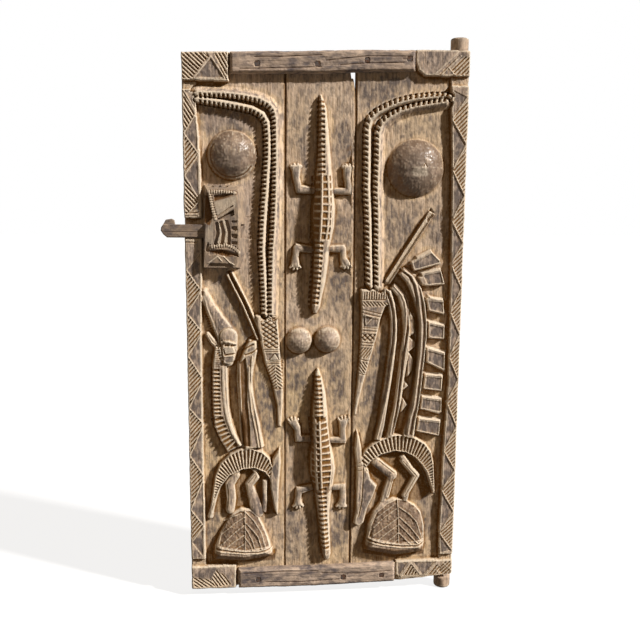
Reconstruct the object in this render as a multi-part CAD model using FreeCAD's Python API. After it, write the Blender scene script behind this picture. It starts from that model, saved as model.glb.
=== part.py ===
import FreeCAD, Part
import os

Vector = FreeCAD.Vector

# Door: three planks side by side, carved in relief on the front
door_height = 1200.0
door_thickness = 40.0
left_plank_width = 216.0
centre_plank_width = 151.0
right_plank_width = 242.5
left_seam_gap = 1.0
right_seam_gap = 1.5
field_depth = 12.0
notch_depth = 7.0
relief_root = 5.0
cut_overrun = 12.0
flatness_share = 1e-6

# Pintles: round pivots left standing on the right plank
pintle_radius = 19.5
pintle_edge_gap = 0.5
upper_pintle_length = 31.0
upper_pintle_dome = 7.0
lower_pintle_length = 22.0
lower_pintle_taper_length = 7.0
lower_pintle_foot_radius = 14.0
pintle_root = 30.0

# Heights of the carved figures above the recessed field
snake_height = 14.0
snake_width = 14.0
snake_top_width = 9.0
taper_height = 14.0
taper_tip_height = 5.0
taper_bevel = 2.0
blade_height = 12.0
blade_width = 17.0
blade_bevel = 2.5
gutter_width = 9.0
gutter_depth = 7.0
crocodile_height = 30.0
upper_crocodile_width = 48.0
lower_crocodile_width = 60.0
crocodile_leg_width = 17.0
crocodile_leg_height = 9.0
large_dome_height = 30.0
left_dome_radius = 53.0
right_dome_radius = 63.0
small_dome_height = 24.0
small_dome_radius = 30.0
figure_height = 14.0
figure_bevel = 2.5
head_height = 18.0
neck_width = 42.0
post_width = 46.0
post_height = 15.0
limb_width = 13.0
limb_height = 10.0
horn_outer_height = 17.0
horn_width = 17.0
horn_height = 14.0
block_height = 12.0
mound_height = 25.0
mound_top_height = 13.0
mound_bevel = 16.0
mound_lip = 3.0
mound_lip_height_share = 0.65

# Battens across the ends of the planks
batten_thickness = 17.0
batten_bevel = 5.0
nail_shank = 5.0
nail_head = 10.0
nail_head_thickness = 2.5
nail_head_sink = 1.0
nail_length = 39.0
nail_clearance = 0.1

# Lock case, pegged on from behind
case_width = 95.0
case_height = 180.0
case_thickness = 26.0
case_border_gap = 2.5
case_foot_height = 738.0
case_pocket_depth = 5.0
case_side_pocket_depth = 8.0
case_seat_clearance = 1.0
case_groove_width = 7.0
peg_radius = 4.0
peg_clearance = 0.1
peg_front_wall = 10.0

# Lock bolt with its lug, key hollow and pin holes
bolt_height = 28.0
bolt_thickness = 15.6
bolt_reach = 49.0
bolt_inside = 60.0
bolt_foot_height = 67.0
bolt_bevel = 2.0
bolt_clearance = 0.4
bolt_travel = 58.0
lug_length = 30.0
lug_height = 12.0
lug_clearance = 1.0
key_hollow_length = 50.0
key_hollow_height = 9.0
key_hollow_depth = 8.0

# Tumbler pins that drop into the bolt
pin_count = 3
pin_spacing = 15.0
first_pin_inset = 10.0
pin_radius = 2.3
pin_clearance = 0.4
pin_hole_clearance = 0.5
pin_rest_gap = 0.3
pin_drop = 10.0
pin_head_radius = 4.0
pin_head_height = 6.0
pin_ledge = 12.6
plug_length = 18.0
plug_clearance = 0.1
plug_sink = 7.0

# Places worked out from the sizes above
front_y = -door_thickness / 2
back_y = door_thickness / 2
field_y = front_y + field_depth
lower_edge_z = 0.0
door_right = pintle_radius + pintle_edge_gap
right_x = door_right - right_plank_width
centre_x = right_x - right_seam_gap - centre_plank_width
left_x = centre_x - left_seam_gap - left_plank_width
door_width = door_right - left_x
left_plank_span = (left_x, left_plank_width)
centre_plank_span = (centre_x, centre_plank_width)
right_plank_span = (right_x, right_plank_width)
door_span = (left_x, door_width)

# Outlines as shares of a plank's width and of the door's height
left_outline_shares = [(0.009, -0.003), (1, -0.002), (1, 0.482), (1, 0.995), (0, 0.991), (0, 0.732)]
centre_outline_shares = [
    (0, -0.002), (0.993, -0.001), (1, 0.482), (1, 0.898), (0.987, 0.934),
    (0.954, 0.958), (0.947, 0.998), (0.01, 0.995), (0, 0.482),
]
right_outline_shares = [
    (0, -0.001), (0.8, 0.001), (1, 0.001), (1, 1.004), (0.8, 1.004), (0, 0.999), (0, 0.815),
]
left_field_shares = [
    (0.454, 1.032), (0.454, 0.942), (0.139, 0.942), (0.139, 0.89), (0.162, 0.848), (0.176, 0.782),
    (0.176, 0.615), (0.167, 0.578), (0.157, 0.515), (0.157, 0.232), (0.167, 0.045), (0.481, 0.045),
    (0.481, -0.043), (1.074, -0.043), (1.074, 1.032),
]
right_field_shares = [
    (0.513, 1.032), (0.513, 0.982), (0.538, 0.967), (0.596, 0.958), (0.839, 0.957), (0.835, 0.928),
    (0.847, 0.882), (0.864, 0.815), (0.876, 0.732), (0.885, 0.648), (0.893, 0.523), (0.897, 0.398),
    (0.88, 0.315), (0.864, 0.24), (0.868, 0.19), (0.856, 0.107), (0.864, 0.043), (0.439, 0.043),
    (0.439, -0.043), (-0.072, -0.043), (-0.072, 1.032),
]
left_notch_shares = [((-0.05, 0.928), (0.17, 0.943)), ((-0.05, 0.044), (0.18, 0.059))]
right_notch_shares = [((0.83, 0.942), (1.05, 0.958)), ((0.85, 0.042), (1.05, 0.053))]

# Snakes: two notched ridges side by side that bend over into a patterned tail
left_snake_shares = [
    [(0.153, 0.923), (0.426, 0.9225), (0.611, 0.919), (0.75, 0.914), (0.843, 0.906), (0.894, 0.895),
     (0.912, 0.88), (0.917, 0.815), (0.912, 0.757), (0.898, 0.69), (0.88, 0.648), (0.87, 0.565),
     (0.87, 0.52)],
    [(0.157, 0.9125), (0.333, 0.908), (0.519, 0.903), (0.681, 0.897), (0.782, 0.8875), (0.829, 0.873),
     (0.838, 0.848), (0.838, 0.815), (0.815, 0.757), (0.787, 0.69), (0.778, 0.648), (0.801, 0.565),
     (0.806, 0.52)],
]
right_snake_shares = [
    [(0.819, 0.922), (0.67, 0.921), (0.505, 0.917), (0.381, 0.911), (0.278, 0.9025), (0.184, 0.8925),
     (0.126, 0.882), (0.105, 0.865), (0.109, 0.815), (0.109, 0.757), (0.126, 0.698), (0.134, 0.648),
     (0.146, 0.57)],
    [(0.794, 0.913), (0.67, 0.909), (0.505, 0.903), (0.381, 0.895), (0.287, 0.884), (0.225, 0.873),
     (0.2, 0.857), (0.2, 0.815), (0.196, 0.757), (0.208, 0.698), (0.212, 0.648), (0.221, 0.57)],
]
left_taper_shares = [
    (0.694, 0.53), (0.926, 0.53), (0.945, 0.482), (0.963, 0.44), (0.986, 0.398), (0.981, 0.357),
    (0.965, 0.315), (0.925, 0.317), (0.917, 0.357), (0.87, 0.398), (0.792, 0.44), (0.745, 0.482),
]
right_taper_shares = [
    (0.056, 0.5775), (0.307, 0.5775), (0.357, 0.566), (0.352, 0.553), (0.29, 0.543), (0.25, 0.52),
    (0.212, 0.482), (0.155, 0.44),
    (0.101, 0.398), (0.056, 0.357), (0.041, 0.336), (0.006, 0.336), (0.019, 0.357), (0.039, 0.398),
    (0.056, 0.44), (0.064, 0.482), (0.068, 0.523),
]
left_blade_shares = [(0.44, 0.608), (0.602, 0.548), (0.75, 0.484)]
right_blade_shares = [(0.703, 0.718), (0.497, 0.6525), (0.299, 0.5875)]

# Domes
left_dome_shares = (0.481, 0.816)
right_dome_shares = (0.542, 0.797)
small_dome_shares = [(0.205, 0.481), (0.623, 0.4825)]

# Crocodiles on the centre plank, nose down: spine, width along it, and legs
upper_spine_shares = [
    (0.503, 0.922), (0.536, 0.898), (0.556, 0.857), (0.563, 0.815), (0.563, 0.765), (0.563, 0.723),
    (0.563, 0.69), (0.543, 0.657), (0.523, 0.623), (0.503, 0.59), (0.47, 0.565), (0.45, 0.544),
    (0.437, 0.532),
]
upper_width_shares = [0.1, 0.31, 0.42, 0.54, 0.79, 1, 0.92, 0.67, 0.63, 0.54, 0.46, 0.38, 0.17]
upper_height_shares = [0.3, 0.5, 0.55, 0.6, 0.8, 1, 1, 0.85, 0.85, 0.8, 0.65, 0.55, 0.35]
lower_spine_shares = [
    (0.483, 0.4275), (0.503, 0.407), (0.523, 0.382), (0.523, 0.348), (0.53, 0.315), (0.543, 0.282),
    (0.556, 0.257), (0.57, 0.232), (0.576, 0.207), (0.583, 0.182), (0.589, 0.148), (0.609, 0.115),
    (0.623, 0.082), (0.642, 0.061), (0.649, 0.05),
]
lower_width_shares = [
    0.08, 0.27, 0.43, 0.57, 0.6, 0.73, 0.93, 1, 0.83, 0.63, 0.48, 0.4, 0.38, 0.32, 0.2,
]
lower_height_shares = [
    0.3, 0.5, 0.7, 0.85, 0.95, 1, 1, 0.95, 0.8, 0.7, 0.65, 0.65, 0.7, 0.6, 0.35,
]
crocodile_leg_shares = [
    [(0.45, 0.755), (0.199, 0.758), (0.159, 0.7775), (0.152, 0.802)],
    [(0.68, 0.754), (0.921, 0.755), (0.881, 0.7775), (0.894, 0.802)],
    [(0.46, 0.648), (0.166, 0.653), (0.146, 0.635), (0.146, 0.615)],
    [(0.58, 0.651), (0.828, 0.651), (0.841, 0.632), (0.894, 0.617)],
    [(0.43, 0.292), (0.199, 0.293), (0.185, 0.315), (0.099, 0.33)],
    [(0.65, 0.289), (0.874, 0.2875), (0.861, 0.311), (0.874, 0.33)],
    [(0.43, 0.197), (0.212, 0.19), (0.199, 0.173), (0.199, 0.158)],
    [(0.7, 0.195), (0.874, 0.195), (0.881, 0.173), (0.861, 0.153)],
]
crocodile_leg_width_shares = [0.9, 1.3, 0.95, 1.4]
crocodile_profile_shares = [(1, 0), (0.87, 0.48), (0.56, 0.85), (0.14, 1)]

# Left figures: horned animal, post with a fist, and the mound they stand on
left_horn_shares = [(0.167, 0.567), (0.241, 0.536), (0.301, 0.511), (0.347, 0.487)]
left_head_shares = [
    (0.37, 0.438), (0.491, 0.445), (0.509, 0.463), (0.463, 0.483), (0.394, 0.487), (0.352, 0.473),
]
left_ear_shares = [(0.213, 0.496), (0.259, 0.48), (0.333, 0.4675)]
neck_shares = [
    (0.333, 0.473), (0.338, 0.44), (0.338, 0.398), (0.343, 0.357), (0.366, 0.323), (0.417, 0.298),
    (0.481, 0.275),
]
neck_width_shares = [0.48, 0.81, 0.86, 0.9, 1, 0.95, 0.86]
post_shares = [
    (0.671, 0.484), (0.653, 0.465), (0.606, 0.436), (0.593, 0.398), (0.616, 0.357), (0.657, 0.323),
    (0.685, 0.276),
]
post_width_shares = [0.39, 0.65, 0.78, 0.65, 0.78, 0.83, 1]
left_crescent_shares = [
    (0.208, 0.148), (0.269, 0.225), (0.324, 0.25), (0.426, 0.2675), (0.542, 0.2775), (0.657, 0.278),
    (0.773, 0.271), (0.847, 0.2575), (0.884, 0.238), (0.852, 0.2), (0.838, 0.215), (0.787, 0.228),
    (0.681, 0.237), (0.565, 0.235), (0.426, 0.223), (0.329, 0.2),
]
left_beak_shares = [
    (0.866, 0.255), (0.95, 0.278), (0.963, 0.248), (0.94, 0.198), (0.925, 0.14), (0.885, 0.155),
    (0.843, 0.2),
]
left_limb_shares = [
    [(0.5, 0.235), (0.44, 0.207), (0.44, 0.1775), (0.421, 0.1525)],
    [(0.676, 0.237), (0.713, 0.219), (0.634, 0.2), (0.685, 0.182), (0.699, 0.154)],
    [(0.792, 0.215), (0.787, 0.173), (0.778, 0.148)],
]
left_limb_width_shares = [1.4, 1, 1]
left_mound_shares = [
    (0.241, 0.059), (0.259, 0.086), (0.315, 0.111), (0.389, 0.136), (0.44, 0.15), (0.537, 0.16),
    (0.634, 0.158), (0.713, 0.15), (0.778, 0.123), (0.843, 0.094), (0.889, 0.0625), (0.565, 0.053),
]

# Right figures: long curved bands, a column of blocks, long beaked animal and mound
outer_horn_shares = [
    (0.456, 0.6175), (0.546, 0.603), (0.621, 0.578), (0.662, 0.548), (0.682, 0.515), (0.682, 0.482),
    (0.666, 0.44), (0.649, 0.398), (0.629, 0.357), (0.6, 0.319), (0.588, 0.29), (0.468, 0.29),
    (0.497, 0.319), (0.538, 0.357), (0.575, 0.398), (0.592, 0.448), (0.6, 0.49), (0.584, 0.525),
    (0.542, 0.559), (0.476, 0.5875), (0.398, 0.605),
]
inner_horn_shares = [
    [(0.348, 0.583), (0.431, 0.565), (0.476, 0.536), (0.493, 0.498), (0.485, 0.457), (0.452, 0.407),
     (0.431, 0.365), (0.394, 0.332), (0.353, 0.292)],
    [(0.307, 0.575), (0.348, 0.548), (0.373, 0.515), (0.373, 0.482), (0.353, 0.44), (0.328, 0.398),
     (0.299, 0.357), (0.274, 0.319), (0.241, 0.287)],
]
block_shares = [
    [(0.538, 0.6125), (0.555, 0.6375), (0.703, 0.649), (0.761, 0.633), (0.761, 0.624)],
    [(0.621, 0.582), (0.571, 0.6), (0.79, 0.612), (0.835, 0.583)],
    [(0.69, 0.536), (0.675, 0.566), (0.827, 0.557), (0.843, 0.529)],
    [(0.705, 0.483), (0.705, 0.515), (0.852, 0.507), (0.852, 0.482)],
    [(0.69, 0.44), (0.705, 0.468), (0.852, 0.455), (0.864, 0.426)],
    [(0.665, 0.388), (0.68, 0.415), (0.852, 0.413), (0.843, 0.38)],
    [(0.641, 0.347), (0.655, 0.373), (0.843, 0.365), (0.831, 0.335)],
    [(0.61, 0.311), (0.63, 0.332), (0.831, 0.323), (0.814, 0.293)],
]
right_crescent_shares = [
    (0.068, 0.247), (0.118, 0.27), (0.184, 0.282), (0.278, 0.292), (0.402, 0.3), (0.505, 0.299),
    (0.608, 0.2925), (0.703, 0.28), (0.761, 0.263), (0.786, 0.24), (0.798, 0.207), (0.806, 0.178),
    (0.777, 0.178), (0.744, 0.2025), (0.711, 0.222), (0.662, 0.237), (0.596, 0.252), (0.505, 0.262),
    (0.402, 0.265), (0.278, 0.258), (0.184, 0.245), (0.118, 0.228),
]
right_beak_shares = [
    (0.045, 0.308), (0.072, 0.295), (0.093, 0.273), (0.105, 0.24), (0.159, 0.232), (0.184, 0.212),
    (0.249, 0.197), (0.216, 0.1775), (0.159, 0.1525), (0.126, 0.123), (0.068, 0.115), (0.02, 0.122),
    (0.039, 0.148), (0.043, 0.232), (0.02, 0.273),
]
right_limb_shares = [
    [(0.208, 0.25), (0.307, 0.233), (0.398, 0.218)],
    [(0.39, 0.224), (0.336, 0.19), (0.303, 0.162)],
    [(0.472, 0.257), (0.621, 0.2125), (0.538, 0.186), (0.513, 0.162)],
]
right_limb_width_shares = [1.6, 1.15, 1.15]
right_mound_shares = [
    (0.126, 0.068), (0.142, 0.09), (0.159, 0.119), (0.208, 0.147), (0.274, 0.165), (0.402, 0.173),
    (0.513, 0.168), (0.612, 0.1575), (0.678, 0.142), (0.711, 0.115), (0.715, 0.062), (0.423, 0.055),
]

# Battens, as shares of the whole door, and where they are nailed
top_batten_shares = [
    (0.165, 0.955), (0.346, 0.957), (0.477, 0.958), (0.6, 0.962), (0.806, 0.965), (0.806, 1.002),
    (0.6, 1), (0.477, 0.9975), (0.346, 0.995), (0.165, 0.9925),
]
bottom_batten_shares = [
    (0.178, -0.002), (0.477, -0.003), (0.775, 0.001), (0.775, 0.04), (0.477, 0.037), (0.178, 0.0375),
]
top_nail_shares = [(0.258, 0.972), (0.464, 0.974), (0.635, 0.982), (0.784, 0.986)]
bottom_nail_shares = [(0.253, 0.015), (0.575, 0.014), (0.722, 0.016)]

# Lock case front, as shares of the case's own width and height
case_base_shares = [
    (0, 0), (0.832, 0), (0.937, 0.167), (0.958, 0.556), (1, 0.806), (0.895, 1), (0.021, 1),
]
case_front_shares = [
    (0.011, 0.022), (0.737, 0.022), (0.811, 0.167), (0.8, 0.556), (0.789, 0.806), (0.737, 0.922),
    (0.105, 0.939),
]
case_side_pocket_shares = [(-0.1, 0.917), (0.137, 0.9), (0.221, 0.6), (-0.1, 0.472)]
case_pocket_shares = [
    [(0.263, 0.806), (0.263, 0.878), (0.726, 0.9)],
    [(0.326, 0.589), (0.695, 0.711), (0.705, 0.644), (0.484, 0.589)],
    [(0.053, 0.222), (0.116, 0.333), (0.158, 0.256), (0.116, 0.2)],
    [(0.137, 0.239), (0.537, 0.233), (0.768, 0.189), (0.8, 0.144), (0.621, 0.172), (0.484, 0.144),
     (0.326, 0.178), (0.137, 0.167)],
    [(-0.05, -0.05), (0.158, 0.078), (0.621, 0.067), (0.75, -0.05)],
    [(0.642, 0.556), (0.768, 0.556), (0.768, 0.578), (0.642, 0.578)],
    [(0.642, 0.461), (0.768, 0.461), (0.768, 0.511), (0.642, 0.511)],
    [(0.642, 0.367), (0.768, 0.367), (0.768, 0.422), (0.642, 0.422)],
    [(0.642, 0.294), (0.768, 0.294), (0.768, 0.333), (0.642, 0.333)],
]
case_groove_shares = [
    [(0.263, 0.294), (0.337, 0.433), (0.316, 0.556)],
    [(0.421, 0.294), (0.463, 0.444), (0.4, 0.572)],
    [(0.579, 0.294), (0.589, 0.444), (0.53, 0.583)],
]
case_peg_shares = [(0.08, 0.861), (0.737, 0.861), (0.08, 0.122), (0.726, 0.122)]

# Bolt's hooked end, as shares of the lug's own reach and height past the bolt's body
bolt_tip_shares = [(0.43, 0), (0.17, 0.25), (0, 0.54), (0.03, 0.79)]
lug_shares = [(0.17, 0), (0.37, 0.83), (0.77, 1), (0.97, 0.75), (1, 0)]


def places(span, shares):
    """Turn shares of a plank's width and the door's height into x, z points."""
    start, width = span
    return [(start + x * width, lower_edge_z + z * door_height) for x, z in shares]


def place(span, share):
    return places(span, [share])[0]


def polygon(points, y):
    corners = [Vector(x, y, z) for x, z in points]
    return corners + corners[:1]


def prism(points, y_from, y_to):
    """Straight block with the given front outline."""
    face = Part.Face(Part.makePolygon(polygon(points, y_from)))
    return face.extrude(Vector(0, y_to - y_from, 0))


def box(low, high):
    size = [high[i] - low[i] for i in range(3)]
    return Part.makeBox(size[0], size[1], size[2], Vector(*low))


def flat_face(corners):
    return Part.Face(Part.makePolygon(corners + corners[:1]))


def flat_faces(a, b, c, d):
    """One face through four corners, or two where they are not in one plane."""
    area = (c - a).cross(d - b)
    lift = abs(area.dot(b - a))
    if lift < area.Length ** 1.5 * flatness_share:
        return [flat_face([a, b, c, d])]
    return [flat_face([a, b, c]), flat_face([a, c, d])]


def side_faces(first, second):
    """Flat faces between two rings of corners."""
    faces = []
    count = len(first)
    for i in range(count):
        after = (i + 1) % count
        faces += flat_faces(first[i], first[after], second[after], second[i])
    return faces


def crest_faces(corners):
    """Flat faces across a long narrow ribbon, from one side of its line to the other."""
    faces = []
    for i in range(len(corners) // 2 - 1):
        faces += flat_faces(corners[i], corners[i + 1], corners[-2 - i], corners[-1 - i])
    return faces


def layered(rings, lid=None):
    """Closed solid through rings of corners, flat at its first ring and, without a lid, at its last."""
    faces = [flat_face(rings[0])]
    faces += lid or [flat_face(rings[-1])]
    for first, second in zip(rings, rings[1:]):
        faces += side_faces(first, second)
    solid = Part.makeSolid(Part.makeShell(faces))
    if solid.Volume < 0:
        solid.reverse()
    return solid


def ring(points, y):
    return polygon(points, y)[:-1]


def inset(points, distance):
    """Move every side of a closed outline inwards by the same distance."""
    count = len(points)
    area = sum(points[i - 1][0] * points[i][1] - points[i][0] * points[i - 1][1] for i in range(count))
    turn = 1 if area > 0 else -1
    moved = []
    for i in range(count):
        before, here, after = points[i - 1], points[i], points[(i + 1) % count]
        first = Vector(here[0] - before[0], 0, here[1] - before[1]).normalize()
        second = Vector(after[0] - here[0], 0, after[1] - here[1]).normalize()
        normal = Vector(-first.z - second.z, 0, first.x + second.x) * turn
        scale = 2 * distance / max(normal.Length ** 2, 1)
        moved.append((here[0] + normal.x * scale, here[1] + normal.z * scale))
    return moved


def ribbon(points, widths):
    """Closed outline on both sides of a line, with its own width at each point."""
    left, right = [], []
    last = len(points) - 1
    for i, here in enumerate(points):
        before, after = points[max(i - 1, 0)], points[min(i + 1, last)]
        along = Vector(after[0] - before[0], 0, after[1] - before[1]).normalize()
        reach = widths[i] / 2
        left.append((here[0] - along.z * reach, here[1] + along.x * reach))
        right.append((here[0] + along.z * reach, here[1] - along.x * reach))
    return left + right[::-1]


def raised(points, height, bevel):
    """Figure with sloping sides that stands on the recessed field."""
    top = inset(points, bevel)
    return layered([ring(points, field_y + relief_root), ring(points, field_y), ring(top, field_y - height)])


def raised_line(points, width, height, bevel):
    return raised(ribbon(points, [width] * len(points)), height, bevel)


def tilted(points, bevel, high, low):
    """Figure whose flat top rises from its lowest point to its highest one."""
    top = inset(points, bevel)
    bottom_z = min(z for x, z in top)
    top_z = max(z for x, z in top)
    lid = []
    for x, z in top:
        part = (z - bottom_z) / (top_z - bottom_z)
        lid.append(Vector(x, field_y - low - (high - low) * part, z))
    return layered([ring(points, field_y + relief_root), ring(points, field_y), lid])


def mound(points):
    """Shell shaped mound: a steep lip, then a rounded back that is highest near its foot."""
    rings = [ring(points, field_y + relief_root), ring(points, field_y)]
    for distance, fraction in [(mound_lip, mound_lip_height_share), (mound_bevel, 1)]:
        outline = inset(points, distance)
        low_z = min(z for x, z in outline)
        high_z = max(z for x, z in outline)
        level = []
        for x, z in outline:
            part = (z - low_z) / (high_z - low_z)
            height = mound_height + (mound_top_height - mound_height) * part
            level.append(Vector(x, field_y - height * fraction, z))
        rings.append(level)
    return layered(rings)


def dome(centre, radius, height):
    """Cap of a ball that stands on the recessed field."""
    ball_radius = (radius ** 2 + height ** 2) / (2 * height)
    ball_y = field_y - height + ball_radius
    ball = Part.makeSphere(ball_radius, Vector(centre[0], ball_y, centre[1]))
    reach = ball_radius + cut_overrun
    low = (centre[0] - reach, field_y - height - cut_overrun, centre[1] - reach)
    high = (centre[0] + reach, field_y + relief_root, centre[1] + reach)
    return ball.common(box(low, high))


def crocodile(spine, width_shares, height_shares, width):
    """Long body with sloping flanks and a narrow crest that rises and falls."""
    rings = [ring(ribbon(spine, [width * share for share in width_shares]), field_y + relief_root)]
    for width_share, height_share in crocodile_profile_shares:
        outline = ribbon(spine, [width * share * width_share for share in width_shares])
        heights = [crocodile_height * share * height_share for share in height_shares]
        level = zip(outline, heights + heights[::-1])
        rings.append([Vector(x, field_y - height, z) for (x, z), height in level])
    return layered(rings, crest_faces(rings[-1]))


def snake(lines, span):
    bevel = (snake_width - snake_top_width) / 2
    return [raised_line(places(span, line), snake_width, snake_height, bevel) for line in lines]


def blade(line):
    """Straight bar with a gutter down its front."""
    bar = raised_line(line, blade_width, blade_height, blade_bevel)
    floor_y = field_y - blade_height + gutter_depth
    gutter = prism(ribbon(line, [gutter_width] * len(line)), field_y - blade_height - cut_overrun, floor_y)
    return bar.cut(gutter)


def plank_slab(span, outline_shares):
    return prism(places(span, outline_shares), back_y, front_y)


def cut_notches(slab, span, notch_shares):
    for low_share, high_share in notch_shares:
        low, high = places(span, [low_share, high_share])
        notch_y = front_y + notch_depth
        slab = slab.cut(box((low[0], front_y - cut_overrun, low[1]), (high[0], notch_y, high[1])))
    return slab


def one_solid(shape):
    solids = shape.Solids
    assert len(solids) == 1 and solids[0].isValid()
    return solids[0]


# Lock places that several pieces share
case_x = left_x + left_field_shares[5][0] * left_plank_width + case_border_gap
case_z = lower_edge_z + case_foot_height
case_y = field_y - case_thickness
bolt_z = case_z + bolt_foot_height
bolt_top_z = bolt_z + bolt_height
bolt_left_x = left_x - bolt_reach
bolt_right_x = case_x + bolt_inside
bolt_back_y = field_y - bolt_clearance
bolt_front_y = bolt_back_y - bolt_thickness
pin_y = (bolt_back_y + bolt_front_y) / 2
ledge_z = bolt_top_z + bolt_clearance + pin_ledge
pin_places = [bolt_right_x - first_pin_inset - i * pin_spacing for i in range(pin_count)]
case_top_z = case_z + case_height
plug_top_z = case_top_z - plug_sink


def case_places(shares):
    return [(case_x + x * case_width, case_z + z * case_height) for x, z in shares]


def case_seat():
    """Room that the carving leaves free for the lock case."""
    outline = inset(case_places(case_base_shares), -case_seat_clearance)
    return prism(outline, case_y - cut_overrun, field_y)


def pegs(radius, y_from, y_to):
    """Four round pegs that run from the door's back into the lock case."""
    shapes = []
    for x, z in case_places(case_peg_shares):
        shapes.append(Part.makeCylinder(radius, y_from - y_to, Vector(x, y_from, z), Vector(0, -1, 0)))
    return shapes


def nails(nail_shares, spare=0, head_overrun=0):
    """Square forged nails with flat heads sunk in the batten, or with spare room, their holes."""
    shapes = []
    head_y = field_y - batten_thickness + nail_head_sink
    for x, z in places(door_span, nail_shares):
        half = nail_shank / 2 + spare
        shank_high_y = head_y + nail_length + spare
        shank = box((x - half, head_y, z - half), (x + half, shank_high_y, z + half))
        half = nail_head / 2 + spare
        head_back = head_y + nail_head_thickness
        head = box((x - half, head_y - head_overrun, z - half), (x + half, head_back, z + half))
        shapes.append(one_solid(shank.fuse(head)))
    return shapes


def nail_holes(nail_shares):
    return nails(nail_shares, nail_clearance, cut_overrun)


def left_plank():
    span = left_plank_span
    slab = plank_slab(span, left_outline_shares)
    slab = slab.cut(prism(places(span, left_field_shares), front_y - cut_overrun, field_y))
    slab = cut_notches(slab, span, left_notch_shares)
    groove_low = (left_x - cut_overrun, front_y - cut_overrun, bolt_z - bolt_clearance)
    groove_high = (case_x, field_y, bolt_top_z + lug_height + lug_clearance)
    slab = slab.cut(box(groove_low, groove_high))
    figures = snake(left_snake_shares, span)
    figures.append(tilted(places(span, left_taper_shares), taper_bevel, taper_height, taper_tip_height))
    figures.append(blade(places(span, left_blade_shares)))
    figures.append(dome(place(span, left_dome_shares), left_dome_radius, large_dome_height))
    figures.append(raised_line(places(span, left_horn_shares), limb_width, limb_height, figure_bevel))
    figures.append(raised(places(span, left_head_shares), head_height, figure_bevel))
    figures.append(raised_line(places(span, left_ear_shares), limb_width / 2, limb_height, figure_bevel / 2))
    neck = ribbon(places(span, neck_shares), [neck_width * share for share in neck_width_shares])
    figures.append(raised(neck, figure_height, figure_bevel))
    post = ribbon(places(span, post_shares), [post_width * share for share in post_width_shares])
    figures.append(raised(post, post_height, figure_bevel))
    figures.append(raised(places(span, left_crescent_shares), figure_height, figure_bevel))
    figures.append(raised(places(span, left_beak_shares), figure_height, figure_bevel))
    for line, share in zip(left_limb_shares, left_limb_width_shares):
        figures.append(raised_line(places(span, line), limb_width * share, limb_height, figure_bevel))
    figures.append(mound(places(span, left_mound_shares)))
    slab = slab.multiFuse(figures).cut(case_seat())
    peg_holes = pegs(peg_radius + peg_clearance, back_y + cut_overrun, field_y - cut_overrun)
    for hole in nail_holes(top_nail_shares + bottom_nail_shares) + peg_holes:
        slab = slab.cut(hole)
    return one_solid(slab)


def centre_plank():
    span = centre_plank_span
    slab = prism(places(span, centre_outline_shares), back_y, field_y)
    upper_spine = places(span, upper_spine_shares)
    lower_spine = places(span, lower_spine_shares)
    figures = [
        crocodile(upper_spine, upper_width_shares, upper_height_shares, upper_crocodile_width),
        crocodile(lower_spine, lower_width_shares, lower_height_shares, lower_crocodile_width),
    ]
    leg_widths = [crocodile_leg_width * share for share in crocodile_leg_width_shares]
    for line in crocodile_leg_shares:
        figures.append(raised(ribbon(places(span, line), leg_widths), crocodile_leg_height, figure_bevel))
    for centre in places(span, small_dome_shares):
        figures.append(dome(centre, small_dome_radius, small_dome_height))
    slab = slab.multiFuse(figures)
    for hole in nail_holes(top_nail_shares + bottom_nail_shares):
        slab = slab.cut(hole)
    return one_solid(slab)


def pintles():
    """Round pivots above and below the right plank, on one upright axis."""
    top_z = lower_edge_z + door_height + upper_pintle_length
    upper_base_z = lower_edge_z + door_height - pintle_root
    straight = top_z - upper_pintle_dome - upper_base_z
    upper = Part.makeCylinder(pintle_radius, straight, Vector(0, 0, upper_base_z))
    upper_cap = Part.makeCone(
        pintle_radius, pintle_radius - upper_pintle_dome, upper_pintle_dome,
        Vector(0, 0, top_z - upper_pintle_dome),
    )
    tip_z = lower_edge_z - lower_pintle_length
    lower_base_z = tip_z + lower_pintle_taper_length
    lower_straight = lower_edge_z + pintle_root - lower_base_z
    lower = Part.makeCylinder(pintle_radius, lower_straight, Vector(0, 0, lower_base_z))
    foot = Part.makeCone(
        lower_pintle_foot_radius, pintle_radius, lower_pintle_taper_length, Vector(0, 0, tip_z),
    )
    return [upper, upper_cap, lower, foot]


def right_plank():
    span = right_plank_span
    slab = plank_slab(span, right_outline_shares)
    slab = slab.cut(prism(places(span, right_field_shares), front_y - cut_overrun, field_y))
    slab = cut_notches(slab, span, right_notch_shares)
    figures = snake(right_snake_shares, span)
    figures.append(tilted(places(span, right_taper_shares), taper_bevel, taper_height, taper_tip_height))
    figures.append(blade(places(span, right_blade_shares)))
    figures.append(dome(place(span, right_dome_shares), right_dome_radius, large_dome_height))
    figures.append(raised(places(span, outer_horn_shares), horn_outer_height, figure_bevel))
    for line in inner_horn_shares:
        figures.append(raised_line(places(span, line), horn_width, horn_height, figure_bevel))
    for corners in block_shares:
        figures.append(raised(places(span, corners), block_height, figure_bevel))
    figures.append(raised(places(span, right_crescent_shares), figure_height, figure_bevel))
    figures.append(raised(places(span, right_beak_shares), figure_height, figure_bevel))
    for line, share in zip(right_limb_shares, right_limb_width_shares):
        figures.append(raised_line(places(span, line), limb_width * share, limb_height, figure_bevel))
    figures.append(mound(places(span, right_mound_shares)))
    slab = slab.multiFuse(figures + pintles())
    for hole in nail_holes(top_nail_shares + bottom_nail_shares):
        slab = slab.cut(hole)
    return one_solid(slab)


def batten(outline_shares, nail_shares):
    outline = places(door_span, outline_shares)
    face_y = field_y - batten_thickness
    rings = [ring(outline, field_y), ring(outline, face_y + batten_bevel)]
    rings.append(ring(inset(outline, batten_bevel), face_y))
    solid = layered(rings)
    for hole in nail_holes(nail_shares):
        solid = solid.cut(hole)
    return one_solid(solid)


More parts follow.
